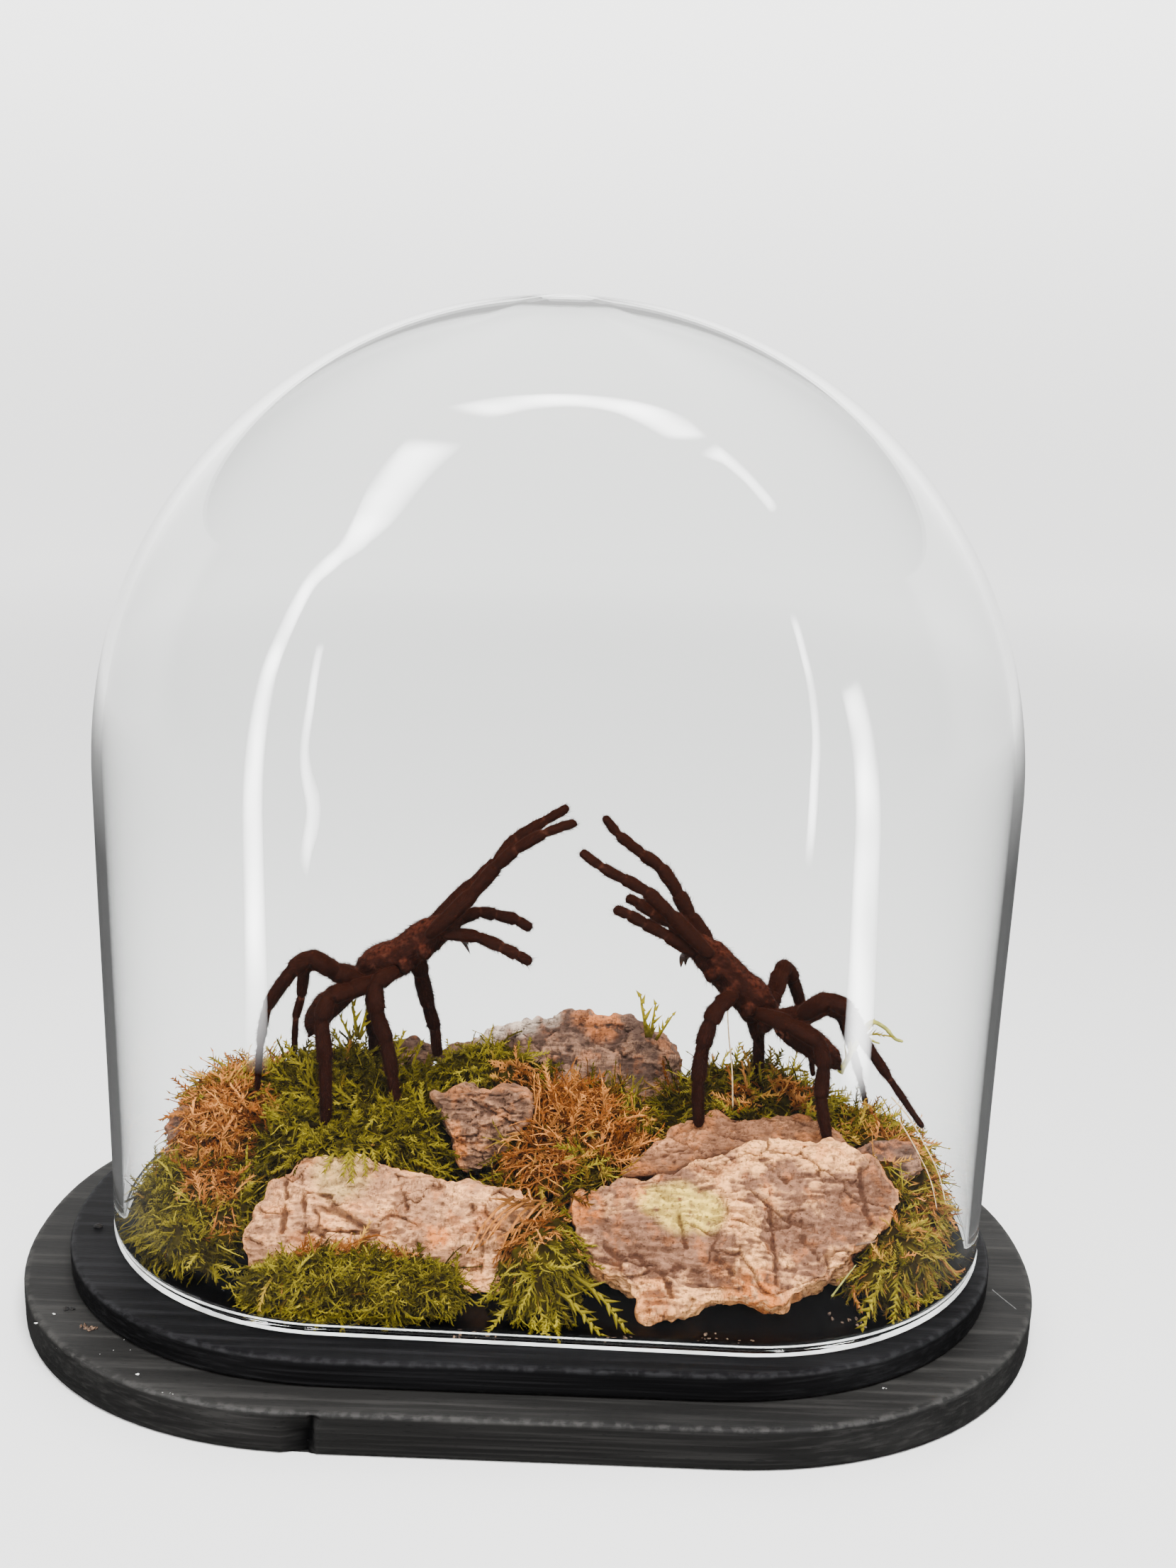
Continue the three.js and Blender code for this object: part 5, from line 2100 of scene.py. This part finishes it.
GREEN_BLADE = Plain("green_blade", (0.2, 0.19, 0.02), (0.34, 0.31, 0.05))
TWIG = Plain("twig", (0.09, 0.04, 0.02), (0.2, 0.1, 0.05))
PALE_SCRATCH = Plain("pale_scratch", (0.07, 0.07, 0.07), (0.13, 0.13, 0.13))
# Painted shade for the knot holes.
PAINTED_HOLE_SHADE = Plain("painted_hole_shade", (0.002, 0.002, 0.002), (0.006, 0.004, 0.003), roughness=1.0)
BROWN_CRUMB = Plain("brown_crumb", (0.03, 0.014, 0.007), (0.13, 0.07, 0.035), cloud=0.8)
WHITE_DUST = Plain("white_dust", (0.5, 0.5, 0.48), (0.75, 0.75, 0.72))

STRAWS = (
    Straw(
        "straw_prop_stalk",
        ((61, 12, 97), (62, 11, 84), (64, 12, 70), (65, 11, 56)), 0.2, 0.26, ("straw_prop",),
    ),
    Straw(
        "straw_right_long",
        ((115, 2, 67), (120.3, -2, 62), (125, -6, 55), (129, -12, 47.7), (130.6, -18, 40)), 0.26, 0.16,
    ),
    Straw(
        "straw_right_short",
        ((117.3, -3, 61), (122, -7, 54), (126, -13, 46.7), (127.6, -19, 39)), 0.2, 0.14,
    ),
    Straw(
        "green_curl",
        ((103, 30, 62), (108, 30, 73), (112, 30, 80.5), (117, 30, 79), (121, 30, 75), (124, 30, 74)),
        1.0, 0.5, finish=GREEN_BLADE,
    ),
    Straw("green_curl_branch", ((110, 30, 77), (113, 29, 74.5), (116, 30, 73)), 0.5, 0.3, finish=GREEN_BLADE),
    Straw("twig_right", ((99, -37, 37), (103, -38, 38.6), (106.4, -37, 38.8)), 0.45, 0.3, finish=TWIG),
    Straw("blade_right", ((91, -49, 27), (95, -48, 33), (98, -46, 36)), 0.3, 0.15, finish=GREEN_BLADE),
    Straw(
        "scratch_right",
        ((142.7, -35, 21.45), (145, -40, 21.5), (147.6, -45, 21.45)), 0.16, 0.12, finish=PALE_SCRATCH,
    ),
)

SPRAYS = (
    Spray(
        "trailing_fronds",
        (
            ((8, -54, 30), (24, -66, 22.6)), ((-2, -57, 28), (-9, -68, 22.8)),
            ((14, -53, 34), (31, -64, 23.5)), ((3, -56, 31), (8, -68, 22.8)),
            ((106, -48, 33), (98, -58, 23)), ((110, -47, 34), (107, -57, 24)),
        ),
        FEATHER, 31, light=0.75,
    ),
    Spray(
        "upright_tips",
        (
            ((-59.6, 14, 76), (-61.4, 14, 90)), ((-59, 14, 75), (-56, 14, 87)),
            ((-62, 15, 75), (-66, 15, 84)), ((37, 45, 66), (33.8, 45, 82)),
            ((38, 45, 66), (39.4, 45, 79)), ((40, 45, 65), (45.8, 45, 75)),
        ),
        SHOOT, 32, light=0.85, bend=0.2,
    ),
    Spray(
        "rust_overhang",
        tuple(
            ((-4 + 1.6 * k, -34 - k % 2, 47 - k % 3), (-17 + 2.3 * k, -43 - k % 3, 33 + 2 * (k % 4)))
            for k in range(8)
        ),
        STRAND, 33, tint=0.9, light=0.7, bend=0.9, slot="rust_moss",
    ),
    Spray(
        "overhanging_fronds",
        (
            ((-60, -17, 52), (-63, -28, 48.5)), ((-56, -16, 52.5), (-57, -29, 48)),
            ((-53, -16, 52.5), (-50, -28, 48)), ((-51, -15, 52), (-47, -26, 49)),
            ((-57, -15, 52), (-54, -30, 46.5)),
        ),
        FEATHER, 35, light=0.75, bend=1.1,
    ),
    Spray(
        "curl_leaves",
        (((104, 30, 64), (113, 30, 80)), ((110, 30, 76), (120, 29, 76))),
        FEATHER, 34, light=0.8,
    ),
)

CRUMBS = (
    Crumbs(
        "floor_crumbs",
        patches((58, -62, 0, 9), (26, -66, 0, 7), (-15, -68, 0, 8), (96, -50, 0, 7)),
        46, 0.6, 21.5, BROWN_CRUMB, "rust_moss", 41,
    ),
    Crumbs(
        "brown_debris",
        patches((-126.8, -59.3, 0, 4.2, 0.9)),
        14, 0.8, 13.0, BROWN_CRUMB, "rust_moss", 42,
    ),
    # The knot holes are black crumbs: painted shade where the holes are.
    Crumbs(
        "knot_hole_shade",
        patches((-137, -18.1, 0, 1.4, 1.6)),
        5, 0.8, 21.4, PAINTED_HOLE_SHADE, "black_stained_wood", 43,
    ),
    Crumbs(
        "knot_hole_low_shade",
        patches((-135.8, -50.3, 0, 1.6, 1.4)),
        5, 0.8, 12.9, PAINTED_HOLE_SHADE, "black_stained_wood", 44,
    ),
    Crumbs(
        "white_dust",
        patches(
            (-142.7, -57.9, 0, 0.6), (-139.3, -53.1, 0, 0.6), (-106.1, -79.5, 0, 0.6),
            (-95.4, -87, 0, 1.6, 0.6), (104, -73, 0, 0.6, 0.8), (-120, -66, 0, 14, 0.35),
        ),
        30, 0.34, 13.0, WHITE_DUST, "black_stained_wood", 45,
    ),
)


def solids_tree() -> BVHTree:
    """A tree of the CAD solids that moss grows round: the bark and the base."""
    joined = bmesh.new()
    for name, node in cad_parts.items():
        if name.startswith("bark") or name.startswith("base"):
            joined.from_mesh(node.data)
    tree = BVHTree.FromBMesh(joined)
    joined.free()
    return tree


def main() -> None:
    """Builds the studio and the display in order."""
    logging.basicConfig(level=logging.INFO, format="%(name)s: %(message)s")
    Studio().build()
    dome = Dome()
    Tier("base_lower_tier", 56, LOWER_WOOD, notch=Notch(-56, 1.4, 2.2)).build(dome)
    Tier("base_upper_tier", 50.5, UPPER_WOOD, covered=True).build(dome)
    dome.build()
    for slab in SLABS:
        slab.build()
    around = Surroundings(dome, solids_tree(), RUST)
    for cushion in CUSHIONS:
        cushion.build(around)
    for spider in (LEFT_SPIDER, RIGHT_SPIDER):
        spider.build()
    for small in (*STRAWS, *SPRAYS, *CRUMBS):
        small.build()


if __name__ == "__main__":
    main()
